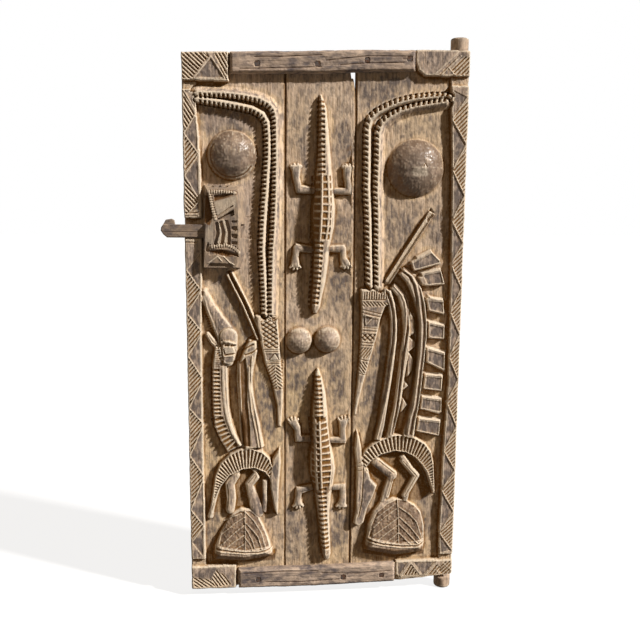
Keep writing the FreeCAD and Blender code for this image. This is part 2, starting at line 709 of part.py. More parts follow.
def bolt_channel():
    low = (case_x - cut_overrun, bolt_front_y - bolt_clearance, bolt_z - bolt_clearance)
    high = (case_x + case_width + cut_overrun, field_y + cut_overrun, bolt_top_z + bolt_clearance)
    return box(low, high)


def pin_chambers():
    """Stepped bores drilled down from the top of the case to the bolt's channel."""
    shapes = []
    for x in pin_places:
        foot = Vector(x, pin_y, bolt_top_z)
        shapes.append(Part.makeCylinder(pin_radius + pin_clearance, ledge_z - bolt_top_z, foot))
        height = case_top_z + cut_overrun - ledge_z
        shapes.append(Part.makeCylinder(pin_head_radius + pin_clearance, height, Vector(x, pin_y, ledge_z)))
    return shapes


def lock_case():
    base = ring(case_places(case_base_shares), field_y)
    front = ring(case_places(case_front_shares), case_y)
    solid = layered([base, front])
    open_y = case_y - cut_overrun
    cuts = [bolt_channel()] + pin_chambers()
    cuts += pegs(peg_radius + peg_clearance, back_y, case_y + peg_front_wall - peg_clearance)
    cuts.append(prism(case_places(case_side_pocket_shares), open_y, case_y + case_side_pocket_depth))
    for corners in case_pocket_shares:
        cuts.append(prism(case_places(corners), open_y, case_y + case_pocket_depth))
    for line in case_groove_shares:
        outline = ribbon(case_places(line), [case_groove_width] * len(line))
        cuts.append(prism(outline, open_y, case_y + case_pocket_depth))
    for shape in cuts:
        solid = solid.cut(shape)
    return one_solid(solid)


def lock_case_pegs():
    return Part.makeCompound(pegs(peg_radius, back_y, case_y + peg_front_wall))


def lock_bolt():
    """Sliding bar with a hooked end, hollow for the key, with pin holes for both ends of its travel."""
    body = [(bolt_left_x + x * lug_length, bolt_z + z * bolt_height) for x, z in bolt_tip_shares]
    body += [(bolt_left_x + lug_shares[0][0] * lug_length, bolt_top_z)]
    body += [(bolt_right_x, bolt_top_z), (bolt_right_x, bolt_z)]
    rings = [ring(body, bolt_back_y), ring(body, bolt_front_y + bolt_bevel)]
    rings.append(ring(inset(body, bolt_bevel), bolt_front_y))
    lug = [(bolt_left_x + x * lug_length, bolt_top_z + z * lug_height) for x, z in lug_shares]
    lug[0] = (lug[0][0], bolt_top_z)
    lug_foot = [(lug[-1][0], bolt_top_z - bolt_bevel), (lug[0][0], bolt_top_z - bolt_bevel)]
    solid = layered(rings).fuse(prism(lug + lug_foot, bolt_back_y, bolt_front_y + bolt_bevel))
    middle_z = bolt_z + bolt_height / 2
    low = (bolt_right_x - key_hollow_length, pin_y - key_hollow_depth / 2, middle_z - key_hollow_height / 2)
    high = (bolt_right_x + cut_overrun, pin_y + key_hollow_depth / 2, middle_z + key_hollow_height / 2)
    solid = solid.cut(box(low, high))
    thrown_holes = pin_places
    drawn_holes = [x - bolt_travel for x in pin_places]
    for x in thrown_holes + drawn_holes:
        hole_foot = Vector(x, pin_y, middle_z)
        solid = solid.cut(Part.makeCylinder(pin_radius + pin_hole_clearance, bolt_height / 2, hole_foot))
    return one_solid(solid)


def lock_tumbler(x):
    """Iron pin with a head, held up clear of the bolt."""
    foot_of_pin = bolt_top_z + pin_rest_gap
    head_z = ledge_z + pin_drop + pin_rest_gap
    shank = Part.makeCylinder(pin_radius, head_z - foot_of_pin, Vector(x, pin_y, foot_of_pin))
    head = Part.makeCylinder(pin_head_radius, pin_head_height, Vector(x, pin_y, head_z))
    return one_solid(shank.fuse(head))


def lock_channel_plugs():
    radius = pin_head_radius + pin_clearance - plug_clearance
    shapes = []
    for x in pin_places:
        foot = Vector(x, pin_y, plug_top_z - plug_length)
        shapes.append(Part.makeCylinder(radius, plug_length, foot))
    return Part.makeCompound(shapes)


os.makedirs("parts", exist_ok=True)
pieces = {
    "left_plank": left_plank(),
    "centre_plank": centre_plank(),
    "right_plank": right_plank(),
    "top_batten": batten(top_batten_shares, top_nail_shares),
    "bottom_batten": batten(bottom_batten_shares, bottom_nail_shares),
    "top_batten_nails": Part.makeCompound(nails(top_nail_shares)),
    "bottom_batten_nails": Part.makeCompound(nails(bottom_nail_shares)),
    "lock_case": lock_case(),
    "lock_case_pegs": lock_case_pegs(),
    "lock_channel_plugs": lock_channel_plugs(),
    "lock_bolt": lock_bolt(),
}
for number, place_x in enumerate(pin_places, start=1):
    pieces["lock_tumbler_%d" % number] = lock_tumbler(place_x)
for name, shape in pieces.items():
    shape.exportStep("parts/%s.step" % name)
    bounds = shape.BoundBox
    print(name, len(shape.Solids), round(shape.Volume), shape.isValid(), bounds)
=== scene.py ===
import math

import bpy
import numpy as np
from mathutils import Matrix, Vector
from mathutils.bvhtree import BVHTree


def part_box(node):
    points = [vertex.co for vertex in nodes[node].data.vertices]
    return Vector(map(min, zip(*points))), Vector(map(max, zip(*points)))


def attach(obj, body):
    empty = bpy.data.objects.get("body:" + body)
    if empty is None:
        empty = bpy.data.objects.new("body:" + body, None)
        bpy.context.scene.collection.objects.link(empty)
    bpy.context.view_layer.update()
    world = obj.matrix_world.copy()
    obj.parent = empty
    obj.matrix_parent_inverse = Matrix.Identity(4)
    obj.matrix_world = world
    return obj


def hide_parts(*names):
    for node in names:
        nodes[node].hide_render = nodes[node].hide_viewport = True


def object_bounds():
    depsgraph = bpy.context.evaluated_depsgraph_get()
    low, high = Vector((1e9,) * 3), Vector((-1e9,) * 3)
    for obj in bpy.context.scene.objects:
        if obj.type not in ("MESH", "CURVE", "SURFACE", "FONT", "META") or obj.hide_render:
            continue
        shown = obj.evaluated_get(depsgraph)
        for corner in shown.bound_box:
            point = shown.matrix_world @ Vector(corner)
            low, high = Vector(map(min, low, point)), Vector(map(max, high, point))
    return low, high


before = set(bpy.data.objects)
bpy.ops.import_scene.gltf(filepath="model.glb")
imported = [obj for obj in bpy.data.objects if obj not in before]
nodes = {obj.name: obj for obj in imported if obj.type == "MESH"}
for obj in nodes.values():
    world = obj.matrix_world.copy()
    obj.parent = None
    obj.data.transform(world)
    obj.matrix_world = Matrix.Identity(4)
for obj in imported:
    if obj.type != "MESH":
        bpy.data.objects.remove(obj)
cad_low, cad_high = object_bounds()

# Lengths below are in millimetres unless their name says metres
mm = 0.001
tiny = 1e-6
# The grime layer holds dirt in cuts and seams, and also painted shade in hollows and a painted cast shadow
layer_names = ("grime", "wear", "patina", "polish", "bare")

# Fineness of the meshes
detail_pitch = 1.2
small_voxel = 0.7
batten_voxel = 1.2
nail_voxel = 0.5
back_step = 3
side_ring_gap = 6.0
edge_marks = 80
edge_smooth_steps = 3
curve_steps = 12
front_share = -0.35

# How the solids' fronts and edges are looked for
ray_reach = 60.0
edge_inset = 0.25
edge_search_inset = 6.0

# Hewn edges, sides and backs. Each noise is a list of parts: a share and the two sides of a cell
edge_round = 2.2
edge_round_share = 1.4
edge_wear_share = 2.5
edge_wear = 0.6
edge_seed = 5
edge_noise = [(0.5, 14.0, 23.0)]
edge_wander = 0.9
wander_noise = [(0.6, 37.0, 1.0)]
fine_wander_noise = [(0.4, 9.0, 1.0)]
carving_round = 0.9
side_lean = 0.9
side_noise = [(0.5, 9.0, 40.0)]
side_streak_noise = [(1.0, 16.0, 90.0)]
back_hew = 0.9
back_noise = [(0.5, 22.0, 34.0), (0.4, 5.0, 60.0)]
back_wear_noise = [(1.0, 22.0, 34.0)]
seam_bulge = 1.6
seam_back_round = 3.0
seam_back_reach = 9.0
seam_dull = 0.8
seam_dull_range = (7.0, 3.0)
seam_grime_range = (2.8, 1.0)
seam_side_range = (6.0, 2.5)

# Surface of the planks: adze marks, grain, pits, pores and patches
bend_noise = [(4.0, 60.0, 160.0)]
adze_noise = [(0.5, 11.0, 15.0), (0.16, 2.6, 34.0)]
pit_noise = [(0.26, 3.0, 4.6)]
pore_noise = [(1.0, 1.7, 26.0)]
pore_range = (0.5, 0.95)
pore_depth = 0.4
pore_grime = 0.3
patch_noise = [(0.6, 30.0, 42.0), (1.0, 6.0, 8.0)]
patch_range = (0.2, 1.2)
patch_patina = 0.6

# Surface of the smaller pieces
worn_noise = [(1.0, 18.0, 9.0), (0.6, 30.0, 2.4), (0.5, 4.0, 3.0)]
worn_patch_noise = [(1.0, 45.0, 16.0), (0.6, 12.0, 5.0)]
worn_edge_range = (1.5, 0.6)
worn_hollow_range = (0.1, 0.8)
worn_hollow_grime = 0.8
worn_crest_range = (0.12, 0.7)
worn_bare_range = (0.05, 0.5)
worn_bare = 0.5

# Dirt and painted shade in hollows, a painted cast shadow, wear and patina that follow the shape
hollow_reach = 7.0
fine_reach = 2.0
flat_slope_start = 0.03
flat_slope_end = 0.22
flat_patina = 0.4
raised_patina = 0.8
raised_range = (4.0, 8.0)
smooth_range = (0.35, 0.05)
mottle_mean = 0.75
mottle_noise = [(0.45, 16.0, 30.0), (0.3, 5.0, 9.0)]
golden_mean = 0.3
golden_noise = [(0.35, 90.0, 150.0)]
golden_foot = 0.35
golden_range_shares = (0.85, 0.3)
# Dirt and painted shade in hollows and nicks, weaker outside the painted cast shadow
hollow_range = (0.6, 4.5)
hollow_grime = 0.45
nick_range = (0.1, 0.7)
nick_grime = 0.7
open_grime = 0.35
crest_range = (1.0, 5.0)
crest_wear = 0.3
# Painted cast shadow: how much it keeps rubbed edges from paling, and how dark it paints the field
cast_shadow_wear_spared = 0.7
lee_grime = 0.5
low_dirt = 0.3
paint_soft = 4.0
# Painted cast shadow: how far to trace along the light, and how deep in shadow a point lies when fully
# painted
cast_shadow_reach = 60.0
cast_shadow_depth = 2.0

# Carving
line_width = 3.0
line_depth = 1.8
rim_width = 3.0
rim_height = 0.9
bar_fall = 0.22
bend_share = 0.36
hatch_pitch = 6.6
hatch_gap_share = 0.46
hatch_depth = 2.3
hatch_margin = 2.0
fan_gap_share = 0.52
kept_width = 3.4

# Pintles and the ledges in the lock's bores
pintle_radius = 19.5
pintle_rings = 24
pintle_sides = 72
pintle_end = 7.0
pintle_end_inset = 7.0
pintle_bury = 4.0
pintle_hew = 0.35
pintle_noise = [(1.0, 9.0, 40.0)]
pin_numbers = (1, 2, 3)
pin_head_height = 6.0
pin_drop = 10.0
ledge_reach = 1.6
ledge_sink = 0.8

# Camera, worked out from the photograph, in metres and degrees
camera_place = (-0.4516, -1.7578, 0.9061)
camera_pitch = 9.17
camera_yaw = 5.04
camera_roll = 0.44
camera_lens = 45.0
camera_sensor = 36.0

# Light: a key from the upper right, as the shadows in the carving show, and a soft fill
key_travel = (-1.85, 1.0, -1.45)
key_strength = 5.2
key_colour = (1, 0.965, 0.93)
key_spread_degrees = 3.0
fill_strength = 0.19
fill_colour = (1, 0.69, 0.38)
back_fill_strength = 0.55
back_fill_colour = (1, 0.95, 0.88)
floor_size = 30000.0
floor_tone = 0.08
floor_glow = 1.05
floor_glow_share = 0.78


# Frame places
def span_of(node):
    low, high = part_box(node)
    return (low.x / mm, (high.x - low.x) / mm)


left_span = span_of("left_plank")
right_span = span_of("right_plank")
centre_low, centre_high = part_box("centre_plank")
door_height = (centre_high.z - centre_low.z) / mm
centre_foot_share = -0.002
lower_edge_z = centre_low.z / mm - centre_foot_share * door_height
field_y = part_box("top_batten")[1].y / mm


def places(span, shares):
    """Turn shares of a plank's width and the door's height into x, z points."""
    start, width = span
    return [(start + x * width, lower_edge_z + z * door_height) for x, z in shares]


# Finer lines are drawn in millimetres on a door of this size, from the pintle axis and the lower edge
drawn_height = 1200.0
drawn_left = -592.0
width_scale = left_span[0] / drawn_left
height_scale = door_height / drawn_height


def on_door(points):
    """Turn drawn points into places on the frame's door."""
    return [(x * width_scale, lower_edge_z + z * height_scale) for x, z in points]


# Small functions of position
def ramp(values, start, end):
    """Smooth step from 0 at start to 1 at end."""
    part = np.clip((values - start) / (end - start), 0, 1)
    return part * part * (3 - 2 * part)


def stripe(values, pitch, gap, soft=1.0):
    """1 inside each gap of an even row and 0 between the gaps."""
    off = np.abs(values % pitch - pitch / 2)
    return ramp(off, (gap + soft) / 2, (gap - soft) / 2)


def noise(x, z, cell_x, cell_z, seed):
    """Smooth random values from -1 to 1 on a lattice of the given cell."""
    u = x / cell_x
    v = z / cell_z
    i = np.floor(u).astype(int)
    j = np.floor(v).astype(int)
    fu = ramp(u - i, 0, 1)
    fv = ramp(v - j, 0, 1)
    i -= i.min()
    j -= j.min()
    lattice = np.random.default_rng(seed).uniform(-1, 1, (i.max() + 2, j.max() + 2))
    low = lattice[i, j] * (1 - fu) + lattice[i + 1, j] * fu
    high = lattice[i, j + 1] * (1 - fu) + lattice[i + 1, j + 1] * fu
    return low * (1 - fv) + high * fv


def layered(x, z, parts, seed):
    """Sum of noises, each with its share and its cell, and with seeds that follow one another."""
    total = np.zeros(x.shape)
    for number, (share, cell_x, cell_z) in enumerate(parts):
        total += share * noise(x, z, cell_x, cell_z, seed + number)
    return total


# Direction on the door's face that the light comes from, and how steeply it falls on the face
lit_x, lit_z = 0.84, 0.54
lit_rise = 0.44


def follow(x, z, line):
    """Distance along a line, and signed distance from it, positive to its left."""
    best = np.full(x.shape, np.inf)
    along = np.zeros(x.shape)
    off = np.zeros(x.shape)
    start = 0.0
    for (ax, az), (bx, bz) in zip(line, line[1:]):
        length = math.hypot(bx - ax, bz - az)
        ux, uz = (bx - ax) / length, (bz - az) / length
        part = np.clip((x - ax) * ux + (z - az) * uz, 0, length)
        dx, dz = x - ax - part * ux, z - az - part * uz
        distance = np.hypot(dx, dz)
        nearer = distance < best
        side = np.where(ux * dz - uz * dx < 0, -1.0, 1.0)
        best = np.where(nearer, distance, best)
        along = np.where(nearer, start + part, along)
        off = np.where(nearer, distance * side, off)
        start += length
    return along, off


def marks_of(line):
    """How far along a line each of its points lies."""
    return np.cumsum([0] + [math.dist(first, second) for first, second in zip(line, line[1:])])


def inside(x, z, corners):
    """True where a point lies within a closed outline."""
    within = np.zeros(x.shape, bool)
    for (ax, az), (bx, bz) in zip(corners, corners[1:] + corners[:1]):
        crosses = (az > z) != (bz > z)
        reach = (bx - ax) * (z - az) / (bz - az if bz != az else 1) + ax
        within ^= crosses & (x < reach)
    return within


def closed(corners):
    return corners + corners[:1]


def blurred(values, sigma_x, sigma_z):
    """Gaussian blur of a grid, with sigmas in grid steps."""
    pad = int(3 * max(sigma_x, sigma_z)) + 1
    wide = np.pad(values, pad, mode="edge")
    fz = np.fft.fftfreq(wide.shape[0])[:, None]
    fx = np.fft.rfftfreq(wide.shape[1])[None, :]
    keep = np.exp(-2 * math.pi ** 2 * ((fz * sigma_z) ** 2 + (fx * sigma_x) ** 2))
    soft = np.fft.irfft2(np.fft.rfft2(wide) * keep, s=wide.shape)
    return soft[pad:-pad, pad:-pad]


class Surface:
    """Points of a carved front: where they are, how far they stand out, and what lies on them."""

    def __init__(self, x, z, height):
        self.x, self.z, self.height = x, z, height
        self.layers = {name: np.zeros(x.shape) for name in layer_names + ("dull",)}

    def near(self, points, reach=0.0):
        xs, zs = zip(*points)
        in_x = (self.x > min(xs) - reach) & (self.x < max(xs) + reach)
        return np.nonzero(in_x & (self.z > min(zs) - reach) & (self.z < max(zs) + reach))

    def measured(self, where, line):
        return follow(self.x[where], self.z[where], line)

    def lay(self, name, where, amount):
        """Put at least this much of a layer on some points."""
        layer = self.layers[name]
        layer[where] = np.maximum(layer[where], amount)

    def cut(self, where, share, depth, **amounts):
        self.height[where] -= depth * share
        for name, amount in amounts.items():
            self.lay(name, where, amount * share)

    def groove(self, line, width=line_width, depth=line_depth, grime=0.8, dull=0.0):
        """Round-bottomed groove along a line."""
        where = self.near(line, width)
        off = self.measured(where, line)[1]
        self.cut(where, ramp(np.abs(off), width / 2, 0), depth, grime=grime, dull=dull)

    def ridge(self, line, width=rim_width, height=rim_height, wear=0.8):
        where = self.near(line, width)
        off = self.measured(where, line)[1]
        self.cut(where, ramp(np.abs(off), width / 2, width / 6), -height, wear=wear)

    def swell(self, line, half_widths, height, flank=3.0, **amounts):
        """Build a rounded bar up from the field along a line, as wide as is said at each point."""
        where = self.near(line, max(half_widths) + flank)
        along, off = self.measured(where, line)
        half = np.interp(along, marks_of(line), half_widths)
        off = np.abs(off)
        share = ramp(off, half + flank, half) * (1 - bar_fall * np.minimum(off / half, 1) ** 2)
        self.height[where] = np.maximum(self.height[where], -field_y + height * share)
        self.cut(where, ramp(off, half + 1, half - 1), 0, **amounts)

    def bank(self, line, profile):
        """Slope of wood left standing along one side of a line."""
        at, level = zip(*profile)
        where = self.near(line, max(at))
        along, side = self.measured(where, line)
        to_end = np.minimum(along, along.max() - along)
        slope = np.interp(side, at, level, left=0, right=0) * ramp(to_end, 0, 4 * max(at))
        self.height[where] = np.maximum(self.height[where], slope - field_y)

    def block(self, corners, height, bevel=2.5):
        """Build a flat-topped block up from the field."""
        where, is_in, rim = self.within(corners)
        share = is_in * ramp(rim, 0, bevel)
        self.height[where] = np.maximum(self.height[where], -field_y + height * share)

    def teeth(self, line, width, pitch, gap, depth, kept=(), **amounts):
        """Cuts across a line, clear of the lines to be kept."""
        where = self.near(line, width)
        x, z = self.x[where], self.z[where]
        along, off = follow(x, z, line)
        share = stripe(along, pitch, gap, gap / 2) * ramp(np.abs(off), width / 2 + 1, width / 2 - 1)
        for other in kept:
            share *= ramp(np.abs(follow(x, z, other)[1]), kept_width / 2, kept_width)
        self.cut(where, share, depth, **amounts)

    def within(self, corners, reach=0.0):
        """Points near an outline, whether they are inside it, and how far from its sides."""
        where = self.near(corners, reach)
        x, z = self.x[where], self.z[where]
        return where, inside(x, z, corners), np.abs(follow(x, z, closed(corners))[1])

    def hatch(self, corners, degrees, pitch=hatch_pitch, grime=0.8, depth=hatch_depth,
              gap_share=hatch_gap_share):
        """Parallel cuts inside an outline; the angle is that of the cuts, from +X."""
        where, is_in, rim = self.within(corners)
        angle = math.radians(degrees)
        across = self.x[where] * math.sin(angle) - self.z[where] * math.cos(angle)
        lines = stripe(across, pitch, gap_share * pitch)
        self.cut(where, is_in * ramp(rim, 0, hatch_margin) * lines, depth, grime=grime)

    def fan(self, corners, centre, radius, pitch, rim, depth):
        """Cuts that point away from a centre, inside an outline and clear of its rim."""
        where, is_in, edge = self.within(corners)
        turn = np.arctan2(self.x[where] - centre[0], self.z[where] - centre[1])
        lines = stripe(turn * radius + radius * math.pi, pitch, pitch * fan_gap_share)
        share = is_in * ramp(edge, rim - 1, rim + 1)
        self.cut(where, share, depth * 0.3)
        self.cut(where, share * lines, depth, grime=0.85)

    def panel(self, corners, inset, depth, **amounts):
        """Sunk flat with a rim left around it; a negative depth raises it."""
        where, is_in, rim = self.within(corners)
        self.cut(where, is_in * ramp(rim, inset, inset + 1.5), depth, **amounts)

    def paint(self, corners, soft=paint_soft, **amounts):
        where, is_in, rim = self.within(corners, soft)
        self.cut(where, np.where(is_in, 1.0, ramp(rim, soft, 0)), 0, **amounts)

    def soil_and_shade(self, corners, amount):
        """Dirt and painted shade on the recessed field only, inside an outline."""
        where, is_in, rim = self.within(corners, paint_soft)
        low = ramp(self.height[where] + field_y, 5, 1)
        self.cut(where, low * np.where(is_in, 1.0, ramp(rim, paint_soft, 0)), 0, grime=amount, dull=amount)

    def stroke(self, line, width, **amounts):
        """Paint along a line."""
        where = self.near(line, width)
        off = self.measured(where, line)[1]
        self.cut(where, ramp(np.abs(off), width / 2, width / 5), 0, **amounts)


class Board(Surface):
    """A plank's front as an even grid that follows the plank's own edges."""

    def __init__(self, node, seams, seed, bends=()):
        mesh = nodes[node].data
        corners = [v.co / mm for v in mesh.vertices]
        self.tree = BVHTree.FromPolygons(corners, [tuple(p.vertices) for p in mesh.polygons])
        low, high = (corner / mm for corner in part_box(node))
        self.back_y = high.y
        columns = back_step * max(1, round((high.x - low.x) / detail_pitch / back_step)) + 1
        rows = back_step * max(1, round(door_height / detail_pitch / back_step)) + 1
        u = np.linspace(0, 1, columns)[None, :]
        v = np.linspace(0, 1, rows)[:, None]
        x = low.x + (high.x - low.x) * u + 0 * v
        foot = self.edge(low, high, 2, 1)
        head = self.edge(low, high, 2, -1)
        foot = foot(x) + self.wander(x, True, seed + 2)
        head = head(x) - self.wander(x, True, seed + 3)
        z = foot + (head - foot) * v
        left = self.edge(low, high, 0, 1)(z) + self.wander(z, -1 not in seams, seed)
        right = self.edge(low, high, 0, -1)(z) - self.wander(z, 1 not in seams, seed + 1)
        x = left + (right - left) * u
        super().__init__(x, z, self.heights(x + self.bent(x, z, bends), z))
        self.u, self.v = u + 0 * v, v + 0 * u
        self.seams = seams
        steps = carving_round / detail_pitch
        self.height = blurred(self.height, steps, steps)

    def edge(self, low, high, axis, sense):
        """Function that gives the plank's edge, found by looking at it from outside."""
        other = 2 - axis
        marks = np.linspace(low[other] + edge_search_inset, high[other] - edge_search_inset, edge_marks)
        found = []
        for mark in marks:
            eye = Vector((0, self.back_y - edge_inset, 0))
            eye[other] = mark
            eye[axis] = (low[axis] if sense > 0 else high[axis]) - sense * ray_reach
            look = Vector((0, 0, 0))
            look[axis] = sense
            hit = self.tree.ray_cast(eye, look)[0]
            if hit is not None:
                found.append((mark, hit[axis]))
        at, value = zip(*found)
        return lambda points: np.interp(points, at, value)

    def wander(self, places, free, seed):
        """How far an edge that was hewn by eye lies inside the straight one."""
        if not free:
            return 0 * places
        waves = layered(places, places * 0, wander_noise, seed)
        waves += layered(places, places * 0, fine_wander_noise, seed + 4)
        return edge_wander * (1 + waves)

    def bent(self, x, z, bends):
        """Sideways shift of a back whose crest was carved out of the middle."""
        shift = np.zeros(x.shape)
        for line, reaches in bends:
            line = on_door(line)
            along, off = follow(x, z, line)
            reach = np.interp(along, marks_of(line), reaches)
            shift += bend_share * reach * ramp(np.abs(off), reach, 0)
        return shift

    def heights(self, x, z):
        """How far the front stands out towards -Y at each point; holes in the field are closed."""
        middle_x, middle_z = x.mean(), z.mean()
        result = np.empty(x.shape)
        look = Vector((0, 1, 0))
        for index in np.ndindex(x.shape):
            px = x[index] + (edge_inset if x[index] < middle_x else -edge_inset)
            pz = z[index] + (edge_inset if z[index] < middle_z else -edge_inset)
            hit = self.tree.ray_cast(Vector((px, -2 * ray_reach, pz)), look)[0]
            result[index] = -field_y if hit is None else max(-hit.y, -field_y)
        return result

    def round_edges(self):
        """Wear down the front's outer edges."""
        width = self.x[:, -1:] - self.x[:, :1]
        length = self.z[-1:, :] - self.z[:1, :]
        side = np.minimum(self.u, 1 - self.u) * width
        end = np.minimum(self.v, 1 - self.v) * length
        wobble = 1 + layered(self.x, self.z, edge_noise, edge_seed)
        for distance in (side, end):
            self.height -= edge_round * wobble * ramp(distance, edge_round_share * edge_round, 0) ** 2
            self.lay("wear", ..., edge_wear * ramp(distance, edge_wear_share * edge_round, 0))
        for seam in self.seams:
            distance = (1 - self.u if seam > 0 else self.u) * width
            self.lay("dull", ..., seam_dull * ramp(distance, *seam_dull_range))
            self.lay("grime", ..., ramp(distance, *seam_grime_range))


def each(carve, shapes, *sizes, **amounts):
    """Carve every drawn line or outline of a list in the same way."""
    for shape in shapes:
        carve(on_door(shape), *sizes, **amounts)


def painted_cast_shadow(surface):
    """Painted cast shadow: how far each point lies in the shadow that a figure casts from the key light,
    traced along the light's direction over the front.
    """
    reach = int(cast_shadow_reach / detail_pitch)
    deepest = np.zeros(surface.height.shape)
    for number in range(1, reach + 1):
        step_x, step_z = (round(number * part) for part in (lit_x, lit_z))
        screen = np.full(surface.height.shape, -field_y)
        rows, columns = screen.shape
        screen[:rows - step_z, :columns - step_x] = surface.height[step_z:, step_x:]
        rise = lit_rise * detail_pitch * math.hypot(step_x, step_z)
        deepest = np.maximum(deepest, screen - surface.height - rise)
    return blurred(ramp(deepest, 0, cast_shadow_depth), 1, 1)


def shade_from_shape(surface, seed):
    """Grime and painted shade settle in hollows, a painted cast shadow darkens the field behind figures,
    edges are rubbed bare outside it, and flats keep some patina.
    """
    steps = hollow_reach / detail_pitch
    fine = fine_reach / detail_pitch
    soft = blurred(surface.height, fine, fine)
    hollow = blurred(surface.height, steps, steps) - surface.height
    nick = soft - surface.height
    rise_z, rise_x = np.gradient(soft, detail_pitch)
    slope = blurred(np.hypot(rise_x, rise_z), steps, steps)
    flat = ramp(slope, flat_slope_end, flat_slope_start)
    mottled = mottle_mean + layered(surface.x, surface.z, mottle_noise, seed)
    layers = surface.layers
    high = ramp(surface.height + field_y, *raised_range) * ramp(np.abs(nick), *smooth_range)
    surface.lay("patina", ..., flat_patina * flat * mottled)
    surface.lay("patina", ..., raised_patina * high * mottled)
    # Painted cast shadow behind the figures, on the side away from the key light
    cast_shadow = painted_cast_shadow(surface)
    golden = golden_mean + layered(surface.x, surface.z, golden_noise, seed + 2)
    golden += golden_foot * ramp(surface.z / door_height, *golden_range_shares)
    layers["bare"] = np.clip(1 - flat - high, 0, 1) * np.clip(0.5 + 0.6 * (mottled - mottle_mean), 0, 1)
    surface.lay("bare", ..., golden * (1 - high))
    # Dirt with painted shade in hollows and nicks, strongest inside the painted cast shadow
    settled_dirt_and_shade = ramp(hollow, *hollow_range) * hollow_grime + ramp(nick, *nick_range) * nick_grime
    settled_dirt_and_shade *= open_grime + (1 - open_grime) * np.maximum(cast_shadow, low_dirt * mottled)
    layers["grime"] += settled_dirt_and_shade + lee_grime * cast_shadow * mottled
    # Rubbed edges, kept from paling inside the painted cast shadow
    rubbed = ramp(-nick, *nick_range) + ramp(-hollow, *crest_range) * crest_wear
    layers["wear"] += rubbed * (1 - cast_shadow_wear_spared * cast_shadow)
    layers["wear"] *= 1 - layers["dull"]
    for name in layer_names:
        layers[name] = np.clip(layers[name], 0, 1)


def hewn_surface(surface, seed):
    """Marks of the adze, wood grain that runs up the plank, and patches of dark patina."""
    x, z = surface.x, surface.z
    bend = layered(x, z, bend_noise, seed)
    surface.height += layered(x + bend, z, adze_noise, seed + 1)
    surface.height += layered(x, z, pit_noise, seed + 3)
    pores = ramp(layered(x + bend, z, pore_noise, seed + 4), *pore_range)
    surface.height -= pore_depth * pores
    patches = layered(x, z, patch_noise, seed + 5)
    surface.lay("patina", ..., patch_patina * ramp(patches, *patch_range))
    surface.lay("grime", ..., pore_grime * pores)


# Meshes
def new_object(name, points, faces, layers=None):
    """Mesh object from points in millimetres, smooth shaded, with its paint layers."""
    mesh = bpy.data.meshes.new(name)
    mesh.from_pydata((np.asarray(points) * mm).tolist(), [], faces)
    finish_mesh(mesh, layers or {})
    piece = bpy.data.objects.new(name, mesh)
    bpy.context.scene.collection.objects.link(piece)
    return piece


def finish_mesh(mesh, layers):
    mesh.polygons.foreach_set("use_smooth", [True] * len(mesh.polygons))
    for key, values in layers.items():
        layer = mesh.attributes.new(key, "FLOAT", "POINT")
        layer.data.foreach_set("value", np.asarray(values, np.float32))
    mesh.update()


def grid_faces(index, outward=1):
    corners = [index[:-1, :-1], index[:-1, 1:], index[1:, 1:], index[1:, :-1]]
    if outward < 0:
        corners.reverse()
    return np.stack([c.ravel() for c in corners], -1).tolist()


def rim_of(index):
    return np.concatenate([index[0, :-1], index[:-1, -1], index[-1, :0:-1], index[:0:-1, 0]])


def side_faces(first, second):
    """Faces between two rings; the first may have several points for each one of the second."""
    step = len(first) // len(second)
    count = len(second)
    faces = []
    for k in range(count):
        after = (k + 1) % count
        fine = [int(first[(k * step + i) % len(first)]) for i in range(step + 1)]
        faces.append([fine[0], int(second[k]), int(second[after])] + fine[:0:-1])
    return faces


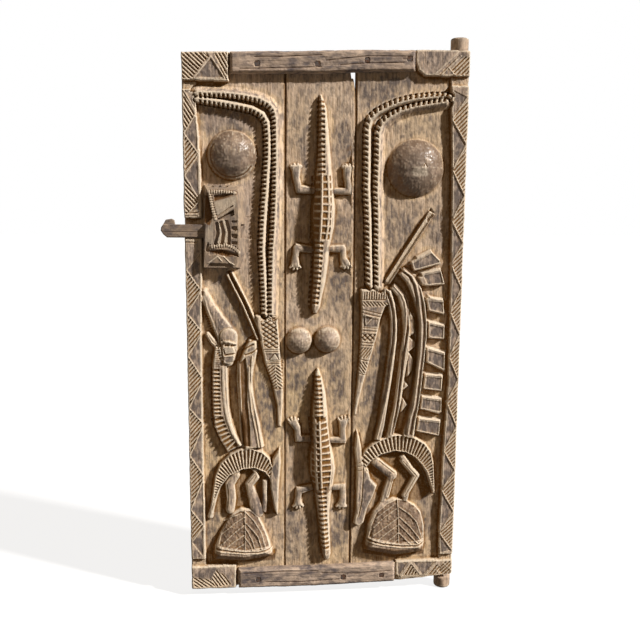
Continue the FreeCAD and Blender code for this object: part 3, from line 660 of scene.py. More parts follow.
def board_object(name, board, seed):
    """Closed mesh: carved front, hewn sides, and a back with broad adze marks."""
    rows, columns = board.x.shape
    front = np.arange(rows * columns).reshape(rows, columns)
    points = [np.stack([board.x, -board.height, board.z], -1).reshape(-1, 3)]
    faces = grid_faces(front)
    total = rows * columns

    # Sides: rings of fewer points, from behind the front to the back
    fine = rim_of(front)
    coarse = fine[::back_step]
    rim_x, rim_z = board.x.ravel()[coarse], board.z.ravel()[coarse]
    inward_x = np.sign(board.x.mean() - rim_x) * (np.minimum(board.u, 1 - board.u).ravel()[coarse] < tiny)
    inward_z = np.sign(board.z.mean() - rim_z) * (np.minimum(board.v, 1 - board.v).ravel()[coarse] < tiny)
    bulge_x = 0 * inward_x
    for seam in board.seams:
        bulge_x[inward_x == -seam] = seam * seam_bulge
        inward_x[inward_x == -seam] = 0
    rim_height = board.height.ravel()[coarse]
    depth = board.back_y + rim_height
    rings = max(3, int(depth.max() / side_ring_gap))
    previous = fine
    for number in range(rings):
        share = (number + 0.5) / (rings - 0.5)
        ring_y = -rim_height + depth * share
        lean = 0.5 + layered(ring_y * 3 + rim_x, rim_z, side_noise, seed + 7)
        lean *= side_lean * min(1, (1 - share) / 0.2) + side_lean / 3
        shift_x = inward_x * lean + bulge_x * 4 * share * (1 - share)
        ring = np.stack([rim_x + shift_x, ring_y, rim_z + inward_z * lean], -1)
        current = total + np.arange(len(coarse))
        total += len(coarse)
        points.append(ring)
        faces += side_faces(previous, current)
        previous = current

    # Back: a coarser grid that shares its rim with the last ring
    back_x, back_z = board.x[::back_step, ::back_step], board.z[::back_step, ::back_step]
    back = np.full(back_x.shape, -1)
    inner = back[1:-1, 1:-1]
    inner[...] = total + np.arange(inner.size).reshape(inner.shape)
    rim_index = rim_of(np.arange(back.size).reshape(back.shape))
    back.ravel()[rim_index] = previous
    marks = 0.5 + layered(back_x, back_z, back_noise, seed + 8)
    back_y = board.back_y - back_hew * np.clip(marks, 0, 1.4)
    for seam in board.seams:
        side = (board.u if seam < 0 else 1 - board.u)[::back_step, ::back_step]
        side = side * (back_x.max() - back_x.min())
        back_y -= seam_back_round * ramp(side, seam_back_reach, 0) ** 2
    points.append(np.stack([back_x, back_y, back_z], -1)[1:-1, 1:-1].reshape(-1, 3))
    faces += grid_faces(back, -1)

    points = np.concatenate(points)
    rest = points[rows * columns:]
    streaks = layered(rest[:, 0] + rest[:, 1], rest[:, 2], side_streak_noise, seed + 10)
    hewn = layered(rest[:, 0], rest[:, 2], back_wear_noise, seed + 8)
    dirt = 0.15 + 0.15 * streaks
    for seam in board.seams:
        seam_x = board.x[:, -1 if seam > 0 else 0].mean()
        dirt = np.maximum(dirt, ramp(np.abs(rest[:, 0] - seam_x), *seam_side_range))
    plain = {
        "grime": dirt, "wear": 0.15 - 0.1 * streaks + 0.35 * hewn,
        "patina": 0.4 + 0.3 * streaks - 0.35 * hewn,
    }
    layers = {}
    for key in layer_names:
        values = plain.get(key, 0 * streaks)
        layers[key] = np.clip(np.concatenate([board.layers[key].ravel(), values]), 0, 1)
    return new_object(name, points, faces, layers)


def remeshed(node, voxel, smooth_steps):
    """Mesh of even small faces over a solid, and the same one after more smoothing."""
    results = []
    for steps in (smooth_steps, smooth_steps + curve_steps):
        copy = bpy.data.objects.new("copy", nodes[node].data.copy())
        bpy.context.scene.collection.objects.link(copy)
        remesh = copy.modifiers.new("remesh", "REMESH")
        remesh.mode = "VOXEL"
        remesh.voxel_size = voxel * mm
        smooth = copy.modifiers.new("smooth", "SMOOTH")
        smooth.iterations = steps
        smooth.factor = 0.5
        graph = bpy.context.evaluated_depsgraph_get()
        results.append(bpy.data.meshes.new_from_object(copy.evaluated_get(graph)))
        bpy.data.objects.remove(copy)
    return results


def values_of(collection, key):
    values = np.empty(3 * len(collection), np.float32)
    collection.foreach_get(key, values)
    return values.reshape(-1, 3).astype(float)


def weathered(node, body, slot, voxel, seed, roughness, patina, carve=None, along=0, fit=None):
    """Worn copy of a solid: softened edges, hewn faces with grain, and its own finer carving."""
    mesh, softer = remeshed(node, voxel, edge_smooth_steps)
    points = values_of(mesh.vertices, "co") / mm
    normals = values_of(mesh.vertices, "normal")
    bulge = ((points - values_of(softer.vertices, "co") / mm) * normals).sum(1)
    across = points[:, 2 - along]
    length = points[:, along]
    skew = across + 0.7 * points[:, 1]
    rough = layered(length, skew, worn_noise, seed)
    shift = roughness * (rough - 1.0)
    points += normals * shift[:, None] * ramp(np.abs(bulge), *worn_edge_range)[:, None]
    patches = layered(length, skew, worn_patch_noise, seed + 3)
    layers = {
        # Dirt and painted shade in the hollows of the smaller pieces
        "grime": ramp(-bulge, *worn_hollow_range) * worn_hollow_grime,
        "wear": ramp(bulge, *worn_crest_range),
        "patina": np.clip(patina * (1 + patches), 0, 1),
        "polish": 0 * bulge,
        "bare": ramp(np.abs(bulge), *worn_bare_range) * worn_bare,
    }
    if carve:
        front = np.nonzero(normals[:, 1] < front_share)[0]
        surface = Surface(points[front, 0], points[front, 2], -points[front, 1])
        surface.layers.update({name: layers[name][front] for name in layer_names})
        carve(surface)
        points[front, 1] = -surface.height
        for name in layer_names:
            layers[name][front] = surface.layers[name]
    if fit:
        fit(points)
    mesh.vertices.foreach_set("co", (points * mm).ravel())
    finish_mesh(mesh, layers)
    piece = bpy.data.objects.new(node + "_worn", mesh)
    bpy.context.scene.collection.objects.link(piece)
    dress(piece, node, body, slot)
    return piece


def dress(piece, node, body, slot):
    piece.data.materials.clear()
    piece.data.materials.append(materials[slot])
    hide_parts(node)
    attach(piece, body)


def plank(name, node, board, seed):
    board.round_edges()
    hewn_surface(board, seed)
    shade_from_shape(board, seed + 20)
    dress(board_object(name, board, seed), node, "door", "plank_wood")


def pintle(name, root_z, end_z, seed):
    """Round pivot, hewn in long facets, with a worn end."""
    points = []
    steps = pintle_rings
    turns = np.linspace(0, 2 * math.pi, pintle_sides, endpoint=False)
    sense = 1 if end_z > root_z else -1
    for number in range(steps + 1):
        if number <= steps // 2:
            ring_z = root_z + (end_z - sense * pintle_end - root_z) * number / (steps // 2)
            radius = pintle_radius
        else:
            turn = (number - steps // 2) / (steps - steps // 2) * math.pi / 2
            ring_z = end_z - sense * pintle_end * (1 - math.sin(turn))
            radius = pintle_radius - pintle_end_inset * (1 - math.cos(turn)) ** 1.5
        hewn = layered(turns * pintle_radius, turns * 0 + ring_z, pintle_noise, seed)
        reach = radius - pintle_hew * (1 + hewn)
        points += [(r * math.sin(t), r * math.cos(t), ring_z) for r, t in zip(reach, turns)]
    index = np.arange(len(points)).reshape(steps + 1, pintle_sides)
    index = np.concatenate([index, index[:, :1]], 1)
    faces = grid_faces(index, -sense)
    for ring, flip in ((index[0, :-1], sense), (index[-1, :-1], -sense)):
        centre = len(points)
        points.append((0.0, 0.0, points[ring[0]][2]))
        for a, b in zip(ring, np.roll(ring, -1)):
            faces.append([int(a), int(b), centre] if flip > 0 else [int(b), int(a), centre])
    points = np.array(points)
    past = np.abs(points[:, 2] - root_z) / abs(end_z - root_z)
    layers = {
        "grime": 0.1 + 0 * past, "wear": 0.3 * ramp(past, 0.6, 0.9),
        "patina": 0.35 + 0.5 * ramp(past, 0.75, 1.0), "polish": 0 * past, "bare": 0.2 + 0 * past,
    }
    dress(new_object(name, points, faces, layers), "right_plank", "door", "plank_wood")


# Incised patterns: how far apart, how wide and how deep the cuts are
fine_gap_share = 0.34
fine_depth = 1.6
snake_gap_share = 0.5
snake_tooth_depth = 9.0
snake_tooth_start = -11.0
snake_crest = -1.0
snake_crest_width = 9.0
snake_reach = 18.0
snake_steep_back = [(-10, 0), (-9, 9), (-7.5, 13), (-3, 14), (1, 13.5), (4, 11), (7, 3), (8, 0)]
snake_long_back = [(-10, 0), (-9, 9), (-7.5, 13), (-3, 14), (1, 13.5), (5, 10), (10, 4.5), (16, 0)]
left_snake_pitch, left_snake_slant = 9.6, 0.15
right_snake_pitch, right_snake_slant = 11.4, -0.45
sunk_depth = 1.3


# Borders: hatched triangles that point inwards and plain dark ones that point outwards.
# Each has its inner points, its outer heights, the cuts' angles and its two ends
right_border = (
    [(-16, 1061), (-11, 953), (-9, 843), (-8, 748), (-6, 641), (-5, 538), (-7, 433), (-10, 318), (-12, 223),
     (-14, 118)],
    [1108, 1008, 898, 795, 694, 589, 485, 375, 270, 170, 73],
    [45, 48, 46, 44, 46, 45, 47, 43, 46, 42],
    [(-17, 1124), (-16, 66)],
)
left_borders = [
    (
        [(-562, 1066), (-559, 981), (-558, 883)],
        [1113, 1023, 936, 850],
        [-58, 50, -47],
        [(-563, 1112), (-558, 866)],
    ), (
        [(-558, 690), (-557, 598), (-557, 493), (-557, 390), (-558, 268), (-560, 150)],
        [735, 640, 546, 428, 318, 190, 112],
        [48, 50, 47, 48, 46, 49],
        [(-557, 776), (-561, 73)],
    ),
]
right_border_outer_x, left_border_outer_x = 18.0, -589.0


def zigzag_border(board, outer_x, inner, outer_z, degrees, ends):
    inner = on_door(inner)
    outer = on_door([(outer_x, z) for z in outer_z])
    for number, apex in enumerate(inner):
        board.hatch([outer[number], apex, outer[number + 1]], degrees[number])
    first, last = on_door(ends)
    plain = [first] + inner + [last]
    for number, apex in enumerate(outer):
        board.panel([plain[number], apex, plain[number + 1]], inset=1.2, depth=sunk_depth, patina=0.9)
    for number, apex in enumerate(inner):
        board.ridge([outer[number], apex, outer[number + 1]])
        board.groove([outer[number], apex], line_width / 2, line_depth / 2)


# Corner blocks
top_left_triangle = [(-566, 1136), (-530, 1180), (-501, 1136)]
top_left_hatches = [
    ([(-590, 1134), (-590, 1188), (-548, 1190), (-534, 1180), (-570, 1134)], -42),
    ([(-526, 1186), (-497, 1190), (-496, 1134), (-500, 1132)], -60),
]
top_left_rays = [[(-552, 1190), (-541, 1172)], [(-541, 1190), (-534, 1178)]]
bottom_left_dark = [(-582, 31), (-562, 49), (-536, 50), (-531, 44), (-548, 24), (-566, 26)]
bottom_left_hatches = [
    ([(-588, 34), (-584, 26), (-562, 24), (-546, 22), (-534, 2), (-584, 2)], -38),
    ([(-546, 22), (-534, 44), (-514, 30), (-499, 6), (-534, 2)], -56),
]
top_right_band = [[(-57, 1153), (-8, 1198)], [(-43, 1152), (0, 1192)], [(-28, 1168), (-14, 1153)]]
top_right_hatches = [
    ([(-50, 1150), (-6, 1194), (0, 1190), (-28, 1164), (-40, 1150)], 45),
    ([(-24, 1166), (4, 1190), (18, 1192), (18, 1152), (-14, 1152)], 45),
]
top_right_dark = [(-64, 1150), (-62, 1200), (-14, 1202), (-58, 1152)]
bottom_right_lines = [
    [(-108, 8), (-80, 46), (-51, 8)], [(-51, 8), (-18, 44)], [(-20, 26), (-2, 2)], [(-2, 42), (18, 22)],
]
bottom_right_dark = [(-76, 48), (-51, 11), (-18, 47)]
bottom_right_left_dark = [(-112, 20), (-112, 48), (-84, 48), (-108, 12)]
bottom_right_hatches = [
    ([(-106, 4), (-80, 42), (-54, 4)], 62),
    ([(-50, 4), (-18, 40), (-6, 30), (-22, 4)], 52),
    ([(-16, 26), (0, 46), (18, 46), (18, 16), (2, 4)], 45),
]


def corner_blocks_left(board):
    board.panel(on_door(top_left_triangle), inset=1.2, depth=sunk_depth, patina=1.0)
    board.ridge(on_door(top_left_triangle))
    for corners, degrees in top_left_hatches:
        board.hatch(on_door(corners), degrees)
    each(board.groove, top_left_rays)
    board.paint(on_door(bottom_left_dark), patina=1.0)
    for corners, degrees in bottom_left_hatches:
        board.hatch(on_door(corners), degrees)


def corner_blocks_right(board):
    board.paint(on_door(top_right_dark), patina=0.7)
    for corners, degrees in top_right_hatches + bottom_right_hatches:
        board.hatch(on_door(corners), degrees)
    each(board.ridge, top_right_band + bottom_right_lines)
    each(board.panel, (bottom_right_dark, bottom_right_left_dark), inset=1.0, depth=sunk_depth, patina=1.0)


# Snakes: teeth through the shaded edge of both backs; the outlines repeat the solids'
left_snake_shares = [
    [(0.153, 0.923), (0.426, 0.9225), (0.611, 0.919), (0.75, 0.914), (0.843, 0.906), (0.894, 0.895),
     (0.912, 0.88), (0.917, 0.815), (0.912, 0.757), (0.898, 0.69), (0.88, 0.648), (0.87, 0.565),
     (0.87, 0.53)],
    [(0.157, 0.9125), (0.333, 0.908), (0.519, 0.903), (0.681, 0.897), (0.782, 0.8875), (0.829, 0.873),
     (0.838, 0.848), (0.838, 0.815), (0.815, 0.757), (0.787, 0.69), (0.778, 0.648), (0.801, 0.565),
     (0.806, 0.53)],
]
right_snake_shares = [
    [(0.819, 0.922), (0.67, 0.921), (0.505, 0.917), (0.381, 0.911), (0.278, 0.9025), (0.184, 0.8925),
     (0.126, 0.882), (0.105, 0.865), (0.109, 0.815), (0.109, 0.757), (0.126, 0.698), (0.134, 0.648),
     (0.146, 0.582)],
    [(0.794, 0.913), (0.67, 0.909), (0.505, 0.903), (0.381, 0.895), (0.287, 0.884), (0.225, 0.873),
     (0.2, 0.857), (0.2, 0.815), (0.196, 0.757), (0.208, 0.698), (0.212, 0.648), (0.221, 0.582)],
]


def comb_level(board, where, line, profile):
    """Height of a snake's back over the field: steep on the shaded side, sloping towards the light."""
    side = board.measured(where, line)[1]
    at, level = zip(*profile)
    return np.interp(side, at, level)


def snakes(board, span, lines, profiles, pitch, slant):
    lines = [places(span, shares) for shares in lines]
    where = board.near(lines[0] + lines[1], snake_reach)
    levels = [comb_level(board, where, line, profile) for line, profile in zip(lines, profiles)]
    level = np.maximum(levels[0], levels[1])
    board.height[where] = np.where(level > 0, -field_y + level, board.height[where])
    for line in lines:
        where = board.near(line, snake_reach)
        along, side = board.measured(where, line)
        gaps = stripe(along + slant * side, pitch, pitch * snake_gap_share, 1.2)
        gaps *= ramp(side, snake_tooth_start - 2, snake_tooth_start)
        gaps *= ramp(side, snake_crest, snake_crest - 2)
        board.cut(where, gaps, snake_tooth_depth, grime=1.0, dull=1.0)
        board.stroke(line, snake_crest_width, wear=0.5)


# Domes: hewn facets, dark and polished by hands, some with a step round the foot
dome_facet_noise = [(1.0, 13.0, 10.4), (0.4, 4.5, 3.6)]
dome_mottle_noise = [(1.0, 15.0, 12.0), (0.6, 5.0, 5.0)]
dome_facet_height = 0.9
dome_step_width = 5.0
dome_step_depth = 2.2
dome_rim_dirt = 0.22
dome_rim_start_share, dome_rim_end_share = 0.25, 0.8
dome_patina_mean, dome_rim_patina, dome_mottle = 0.62, 0.55, 0.8
dome_ledge_share = 0.98
dome_ledge_kept = (("patina", 0.25), ("grime", 0.4), ("polish", 0.3))
dome_ledge_bare = 0.7
left_dome = ((-488, 979), 53.0)
right_dome = ((-91, 956), 63.0)
small_domes = [((-344, 577), 30.0), ((-281, 579), 31.0)]
right_dome_nick = [(-80, 958), (-75, 966), (-70, 959)]
right_dome_bare = [(-104, 946), (-98, 956), (-74, 957), (-70, 942), (-96, 940)]


def dome_skin(board, dome, seed, patina):
    (centre_x, centre_z), radius = dome
    centre_x, centre_z = on_door([(centre_x, centre_z)])[0]
    reach = radius + dome_step_width
    where = board.near([(centre_x, centre_z)], reach)
    x, z = board.x[where], board.z[where]
    from_centre = np.hypot(x - centre_x, z - centre_z)
    share = ramp(from_centre, radius, radius - dome_step_width)
    facets = layered(x, z, dome_facet_noise, seed)
    board.height[where] += dome_facet_height * facets * share
    mottled = layered(x, z, dome_mottle_noise, seed + 2)
    ring = ramp(from_centre, dome_rim_start_share * radius, dome_rim_end_share * radius)
    mottled = dome_patina_mean + dome_rim_patina * ring + dome_mottle * mottled
    mottled = patina * np.clip(mottled, 0, 1)
    board.layers["patina"][where] = np.where(share > 0, mottled * share, board.layers["patina"][where])
    board.lay("polish", where, patina * share)
    board.lay("grime", where, dome_rim_dirt * ring * share)


def foot_arc(centre, reach):
    """The lower left part of a circle, from its left to its lower right."""
    arc = []
    for degrees in range(150, 331, 15):
        angle = math.radians(degrees)
        arc.append((centre[0] + reach * math.cos(angle), centre[1] + reach * math.sin(angle)))
    return on_door(arc)


def dome_step(board, dome):
    """Groove round the lower left foot of a dome, and a paler ledge outside it."""
    centre, radius = dome
    step = foot_arc(centre, radius - 1.5 * dome_step_width)
    board.groove(step, dome_step_width, dome_step_depth, grime=0.4)
    ledge = foot_arc(centre, dome_ledge_share * radius)
    where = board.near(ledge, dome_step_width)
    off = board.measured(where, ledge)[1]
    band = ramp(np.abs(off), 1.3 * dome_step_width, 0.5 * dome_step_width)
    for layer, kept in dome_ledge_kept:
        board.layers[layer][where] *= 1 - (1 - kept) * band
    board.lay("bare", where, dome_ledge_bare * band)


# Patterned tails that the snakes run into
left_tail_crossed = [(-432, 632), (-397, 632), (-386, 560), (-422, 560)]
left_tail_lines = [
    [(-436, 634), (-396, 634)], [(-423, 558), (-385, 558)], [(-420, 554), (-384, 554)],
    [(-418, 530), (-381, 530)], [(-417, 526), (-380, 526)], [(-402, 468), (-379, 468)],
]
left_tail_panel = [(-420, 551), (-385, 551), (-382, 532), (-417, 532)]
left_tail_triangle = [(-412, 534), (-398, 550), (-388, 534)]
left_tail_braid = [[(-417, 523), (-398, 523), (-392, 468), (-405, 468)],
                   [(-398, 523), (-380, 523), (-379, 468), (-392, 468)]]
right_tail_combs = [([(-205, 688), (-148, 690), (-138, 678), (-140, 670), (-206, 668)], 88),
                    ([(-207, 666), (-142, 664), (-152, 654), (-207, 652)], -48)]
right_tail_lines = [
    [(-208, 669), (-153, 669)], [(-208, 648), (-158, 636)], [(-208, 641), (-160, 629)],
    [(-206, 607), (-168, 604)],
    [(-206, 600), (-170, 597)], [(-207, 573), (-174, 570)], [(-207, 566), (-177, 564)],
    [(-209, 535), (-184, 528)], [(-212, 502), (-193, 497)],
]
right_tail_crossed = [(-206, 594), (-172, 592), (-177, 574), (-207, 576)]
right_tail_panel = [(-204, 634), (-166, 626), (-170, 606), (-204, 606)]
right_tail_triangle = [(-198, 635), (-180, 630), (-196, 612)]
right_tail_braid = [([(-208, 562), (-178, 560), (-186, 537), (-209, 535)], 52),
                    ([(-209, 531), (-187, 526), (-195, 500), (-211, 503)], -55)]


def left_tail(board):
    crossed = on_door(left_tail_crossed)
    for degrees in (30, -35):
        board.hatch(crossed, degrees, pitch=8.5, grime=0.7, depth=fine_depth, gap_share=fine_gap_share)
    board.panel(on_door(left_tail_panel), inset=1.0, depth=sunk_depth, patina=0.9)
    triangle = on_door(left_tail_triangle)
    board.panel(triangle, inset=0.0, depth=-sunk_depth, wear=0.8)
    board.groove(closed(triangle))
    board.hatch(on_door(left_tail_braid[0]), degrees=40, pitch=6.0)
    board.hatch(on_door(left_tail_braid[1]), degrees=-40, pitch=6.0)
    each(board.groove, left_tail_lines)


def right_tail(board):
    for corners, degrees in right_tail_combs + right_tail_braid:
        board.hatch(on_door(corners), degrees, pitch=5.4, depth=fine_depth)
    crossed = on_door(right_tail_crossed)
    for degrees in (45, -45):
        board.hatch(crossed, degrees, pitch=8.0, grime=0.7, depth=fine_depth, gap_share=fine_gap_share)
    board.panel(on_door(right_tail_panel), inset=1.0, depth=sunk_depth, patina=0.9)
    board.ridge(closed(on_door(right_tail_triangle)), rim_width, 2 * rim_height)
    each(board.groove, right_tail_lines)


# Blades: the left one has bare rims and a gutter darkened by grime and painted shade; the right one has a
# gutter painted pale, as wear and as a painted highlight, between lines darkened by grime and painted shade
left_blade = [(-497, 730), (-462, 658), (-430, 581)]
right_blade = [(-52, 862), (-102, 783), (-150, 705)]
blade_rim_shift = 7.0
blade_gutter_width = 10.0
blade_gutter_depth = 4.0
right_blade_hollow = [(-66, 852), (-55, 872), (-47, 862), (-52, 846), (-62, 838)]


def beside(line, shift):
    """The same line moved sideways, to its left where the shift is positive."""
    (ax, az), (bx, bz) = line[0], line[-1]
    length = math.hypot(bx - ax, bz - az)
    return [(x - (bz - az) / length * shift, z + (bx - ax) / length * shift) for x, z in line]


def rims_of(line, shift):
    return [beside(line, -shift), beside(line, shift)]


def blade_with_painted_shade(board, line):
    # The gutter is darkened by grime and painted shade
    board.groove(line, blade_gutter_width, blade_gutter_depth, grime=1.0)
    for rim in rims_of(line, blade_rim_shift):
        board.stroke(rim, line_width, wear=0.9)


def blade_with_painted_highlight(board, line):
    # The gutter is painted pale, as wear and as a painted highlight, and the lines beside it dark, as grime
    # and painted shade
    board.stroke(line, blade_gutter_width, wear=0.8)
    for rim in rims_of(line, blade_rim_shift):
        board.groove(rim, grime=1.0, dull=1.0)


# Left figures
left_horn = [(-550, 688), (-538, 652), (-520, 618), (-504, 590)]
left_horn_half_widths = [3.0, 9.0, 14.0, 18.0]
left_horn_rim = [(-552, 684), (-545, 650), (-533, 616), (-523, 588), (-519, 560), (-515, 538)]
left_horn_ticks = [(-549, 640), (-540, 612), (-529, 584), (-523, 556), (-518, 542)]
left_head = [(-500, 588), (-498, 560), (-501, 532)]
left_head_half_widths = [18.0, 15.0, 9.0]
left_head_dents = [[(-515, 580), (-508, 574)], [(-511, 560), (-507, 546)], [(-483, 562), (-487, 546)]]
left_ear = [(-545, 594), (-534, 577), (-521, 563)]
left_ear_half_widths = [3.5, 6.0, 5.0]
left_ear_lines = [[(-546, 597), (-532, 576), (-519, 562)], [(-550, 590), (-536, 570), (-524, 557)]]
left_brow = [(-514, 577), (-500, 579), (-484, 572)]
left_eyes = [[(-507, 570), (-500, 570)], [(-494, 569), (-486, 570)]]
left_cheek = [(-506, 564), (-488, 564), (-487, 552), (-504, 552)]
left_mouth = [(-505, 549), (-487, 551)]
left_lip = [(-508, 545), (-488, 547)]
left_muzzle = [(-511, 543), (-490, 544), (-492, 537), (-500, 531), (-508, 533)]
left_chin = [(-514, 539), (-508, 532), (-500, 529), (-492, 534), (-487, 543)]
neck_top = [(-527, 560), (-528, 520)]
neck_line = [(-530, 518), (-530, 478), (-530, 446), (-528, 408)]
neck_foot_line = [(-528, 406), (-522, 385), (-513, 362), (-503, 345), (-495, 337)]
neck_rim = [(-513, 520), (-512, 470), (-509, 428), (-503, 398), (-494, 370), (-480, 347), (-470, 335)]
neck_cells = [(neck_line, 20.0, 9.0, 5.0), (neck_foot_line, 28.0, 10.5, 6.0)]
neck_cell_depth = 3.2
post_dark = [
    (-477, 530), (-462, 545), (-457, 500), (-458, 440), (-452, 380), (-452, 336), (-472, 336),
    (-474, 440),
]
post_ridges = [
    [(-448, 545), (-451, 508), (-447, 455), (-438, 400), (-430, 345), (-426, 322)],
    [(-455, 520), (-456, 480), (-450, 420), (-440, 370), (-434, 330)],
    [(-479, 530), (-481, 490), (-478, 440), (-475, 380), (-472, 340)],
]
fist_lines = [
    [(-469, 556), (-458, 565), (-446, 571)], [(-468, 564), (-456, 576), (-443, 580)],
    [(-464, 548), (-450, 552), (-438, 560)], [(-462, 576), (-454, 584), (-446, 589)],
]
left_crescent = [
    (-547, 178), (-534, 270), (-522, 300), (-500, 321), (-475, 333), (-450, 334), (-425, 325), (-409, 309),
    (-401, 286), (-408, 240), (-411, 258), (-422, 274), (-445, 284), (-470, 282), (-500, 268), (-521, 240),
]
left_fan_centre = (-462, 222)
left_fan_radius = 92.0
fan_pitch = 8.0
fan_depth = 3.2
fan_rim = 4.5
left_crescent_lines = [
    [(-543, 190), (-529, 244), (-519, 256), (-500, 272), (-470, 287), (-445, 288), (-422, 279),
     (-410, 262)],
    [(-538, 190), (-523, 238), (-516, 250), (-498, 266), (-470, 281), (-446, 282), (-425, 273),
     (-413, 256)],
]
# Patina and painted shade on the shaded side of the beak
left_beak_patina_and_shade = [
    [(-404, 282), (-393, 300), (-389, 285), (-396, 262)], [(-399, 222), (-393, 240), (-392, 205)],
]
left_mound_veins = [
    [(-467, 183), (-466, 140), (-467, 94)],
    [(-475, 178), (-494, 171), (-515, 158)], [(-468, 170), (-493, 154), (-520, 130)],
    [(-470, 150), (-496, 130), (-525, 103)], [(-470, 128), (-490, 115), (-510, 100)],
    [(-470, 108), (-480, 102), (-490, 96)],
    [(-467, 183), (-446, 160), (-430, 133), (-420, 98)],
    [(-465, 156), (-448, 138), (-437, 123), (-429, 96)],
    [(-465, 143), (-452, 120), (-445, 98)], [(-465, 120), (-456, 107), (-451, 95)],
]
left_mound_lip = [
    [(-529, 102), (-505, 97), (-467, 92), (-435, 92), (-410, 98)],
    [(-533, 93), (-505, 90), (-467, 86), (-435, 86), (-404, 92)],
]
left_mound_cells = [
    (-527, 104), (-520, 138), (-506, 168), (-478, 184), (-455, 184), (-437, 168), (-418, 126), (-412, 100),
    (-467, 93),
]
# Underside below the mound's lip, painted dark: patina and painted shade
left_mound_shaded_underside = [
    (-536, 84), (-500, 81), (-467, 78), (-435, 78), (-396, 84), (-400, 60), (-467, 58), (-540, 62),
]
# Dirt and painted shade on the field round the legs, between crescent and mound
recess_grime = 0.6
mound_cell_depth = 2.0
mound_noise = [(0.8, 3.6, 3.6)]
mound_noise_margin = 3.0
mound_seed = 77
vein_width = 3.6
vein_height = 1.9


def mound(board, cells, veins, lip, foot):
    corners = on_door(cells)
    board.panel(corners, inset=0.5, depth=mound_cell_depth, patina=0.9, grime=0.35, dull=0.6)
    where, is_in, rim = board.within(corners)
    rough = layered(board.x[where], board.z[where], mound_noise, mound_seed)
    board.cut(where, rough * is_in * ramp(rim, 0, mound_noise_margin), 1.0)
    each(board.ridge, veins + lip, vein_width, vein_height)
    middle = [((ax + bx) / 2, (az + bz) / 2) for (ax, az), (bx, bz) in zip(lip[0], lip[1])]
    board.groove(on_door(middle))
    # Patina with painted shade on the underside below the lip
    board.paint(on_door(foot), patina=0.8, grime=0.6, dull=1.0)


def crescent(board, corners, centre, radius, lines):
    board.fan(on_door(corners), on_door([centre])[0], radius, fan_pitch, fan_rim, fan_depth)
    board.groove(on_door(lines[1]))
    each(board.stroke, lines, line_width, wear=0.6)


left_recess = [
    (-521, 250), (-500, 270), (-462, 283), (-425, 272), (-407, 244), (-396, 175), (-420, 172), (-470, 192),
    (-505, 176), (-535, 182),
]
left_legs = [
    ([(-522, 252), (-533, 222), (-541, 190), (-545, 172)], [3.5, 3.5, 3.5, 5.0]),
    ([(-487, 268), (-500, 248), (-497, 212), (-500, 186)], [8.0, 9.0, 9.0, 8.0]),
    ([(-444, 270), (-457, 247), (-447, 212), (-438, 180)], [3.5, 7.0, 10.0, 13.0]),
]
left_leg_lines = [
    [(-522, 252), (-533, 222), (-542, 188)], [(-506, 248), (-504, 212), (-507, 190)],
    [(-443, 269), (-460, 250)],
]
left_leg_dark = [(-441, 245), (-430, 242), (-420, 205), (-418, 176), (-432, 178), (-440, 215)]
raised_leg_height = 11.0


def left_face(board):
    """Horned head seen from above: a brow over two hollows, a cheek, a mouth and a chin."""
    # The brow and the cheek are painted pale, as wear and as a painted highlight
    board.ridge(on_door(left_brow), width=7.0, height=2.4, wear=1.0)
    each(board.groove, left_eyes, width=7.0, depth=4.4, grime=1.0, dull=1.0)
    board.paint(on_door(left_cheek), wear=0.9)
    board.groove(on_door(left_mouth), width=5.0, depth=4.0, grime=1.0, dull=1.0)
    board.ridge(on_door(left_lip), 1.3 * rim_width, 1.6 * rim_height, wear=1.0)
    board.paint(on_door(left_muzzle), patina=1.0)
    board.ridge(on_door(left_chin), width=3.6, height=1.2, wear=1.0)


def left_figures(board):
    board.swell(on_door(left_horn), left_horn_half_widths, height=11.0, flank=7.0)
    board.swell(on_door(left_head), left_head_half_widths, height=17.0, flank=4.0)
    board.teeth(on_door(left_horn_ticks), width=8.0, pitch=5.6, gap=2.4, depth=1.8, grime=0.8)
    board.ridge(on_door(left_horn_rim), width=5.0, height=1.2, wear=1.0)
    each(board.groove, left_head_dents, width=4.0, depth=2.4)
    board.swell(on_door(left_ear), left_ear_half_widths, height=9.0, flank=2.0)
    each(board.stroke, left_ear_lines, line_width, wear=0.9)
    board.groove(on_door(left_ear))
    left_face(board)
    board.teeth(on_door(neck_top), width=16.0, pitch=4.4, gap=1.6, depth=0.7, grime=0.4)
    board.stroke(on_door(neck_top), width=20.0, patina=0.5)
    for line, width, pitch, gap in neck_cells:
        board.teeth(on_door(line), width, pitch, gap, neck_cell_depth, grime=0.9)
    board.ridge(on_door(neck_rim), width=8.0, height=1.5, wear=1.0)
    board.panel(on_door(post_dark), inset=1.0, depth=3.4, patina=1.0, grime=0.7, dull=1.0)
    each(board.ridge, post_ridges, width=5.0, height=1.6, wear=0.9)
    each(board.groove, fist_lines, line_width * 1.8, line_depth * 1.6, grime=1.0, dull=1.0)
    crescent(board, left_crescent, left_fan_centre, left_fan_radius, left_crescent_lines)
    each(board.paint, left_beak_patina_and_shade, patina=1.0)
    for line, half_widths in left_legs:
        board.swell(on_door(line), half_widths, raised_leg_height)
    each(board.groove, left_leg_lines)
    board.paint(on_door(left_leg_dark), patina=1.0, dull=1.0)
    board.soil_and_shade(on_door(left_recess), recess_grime)
    mound(board, left_mound_cells, left_mound_veins, left_mound_lip, left_mound_shaded_underside)


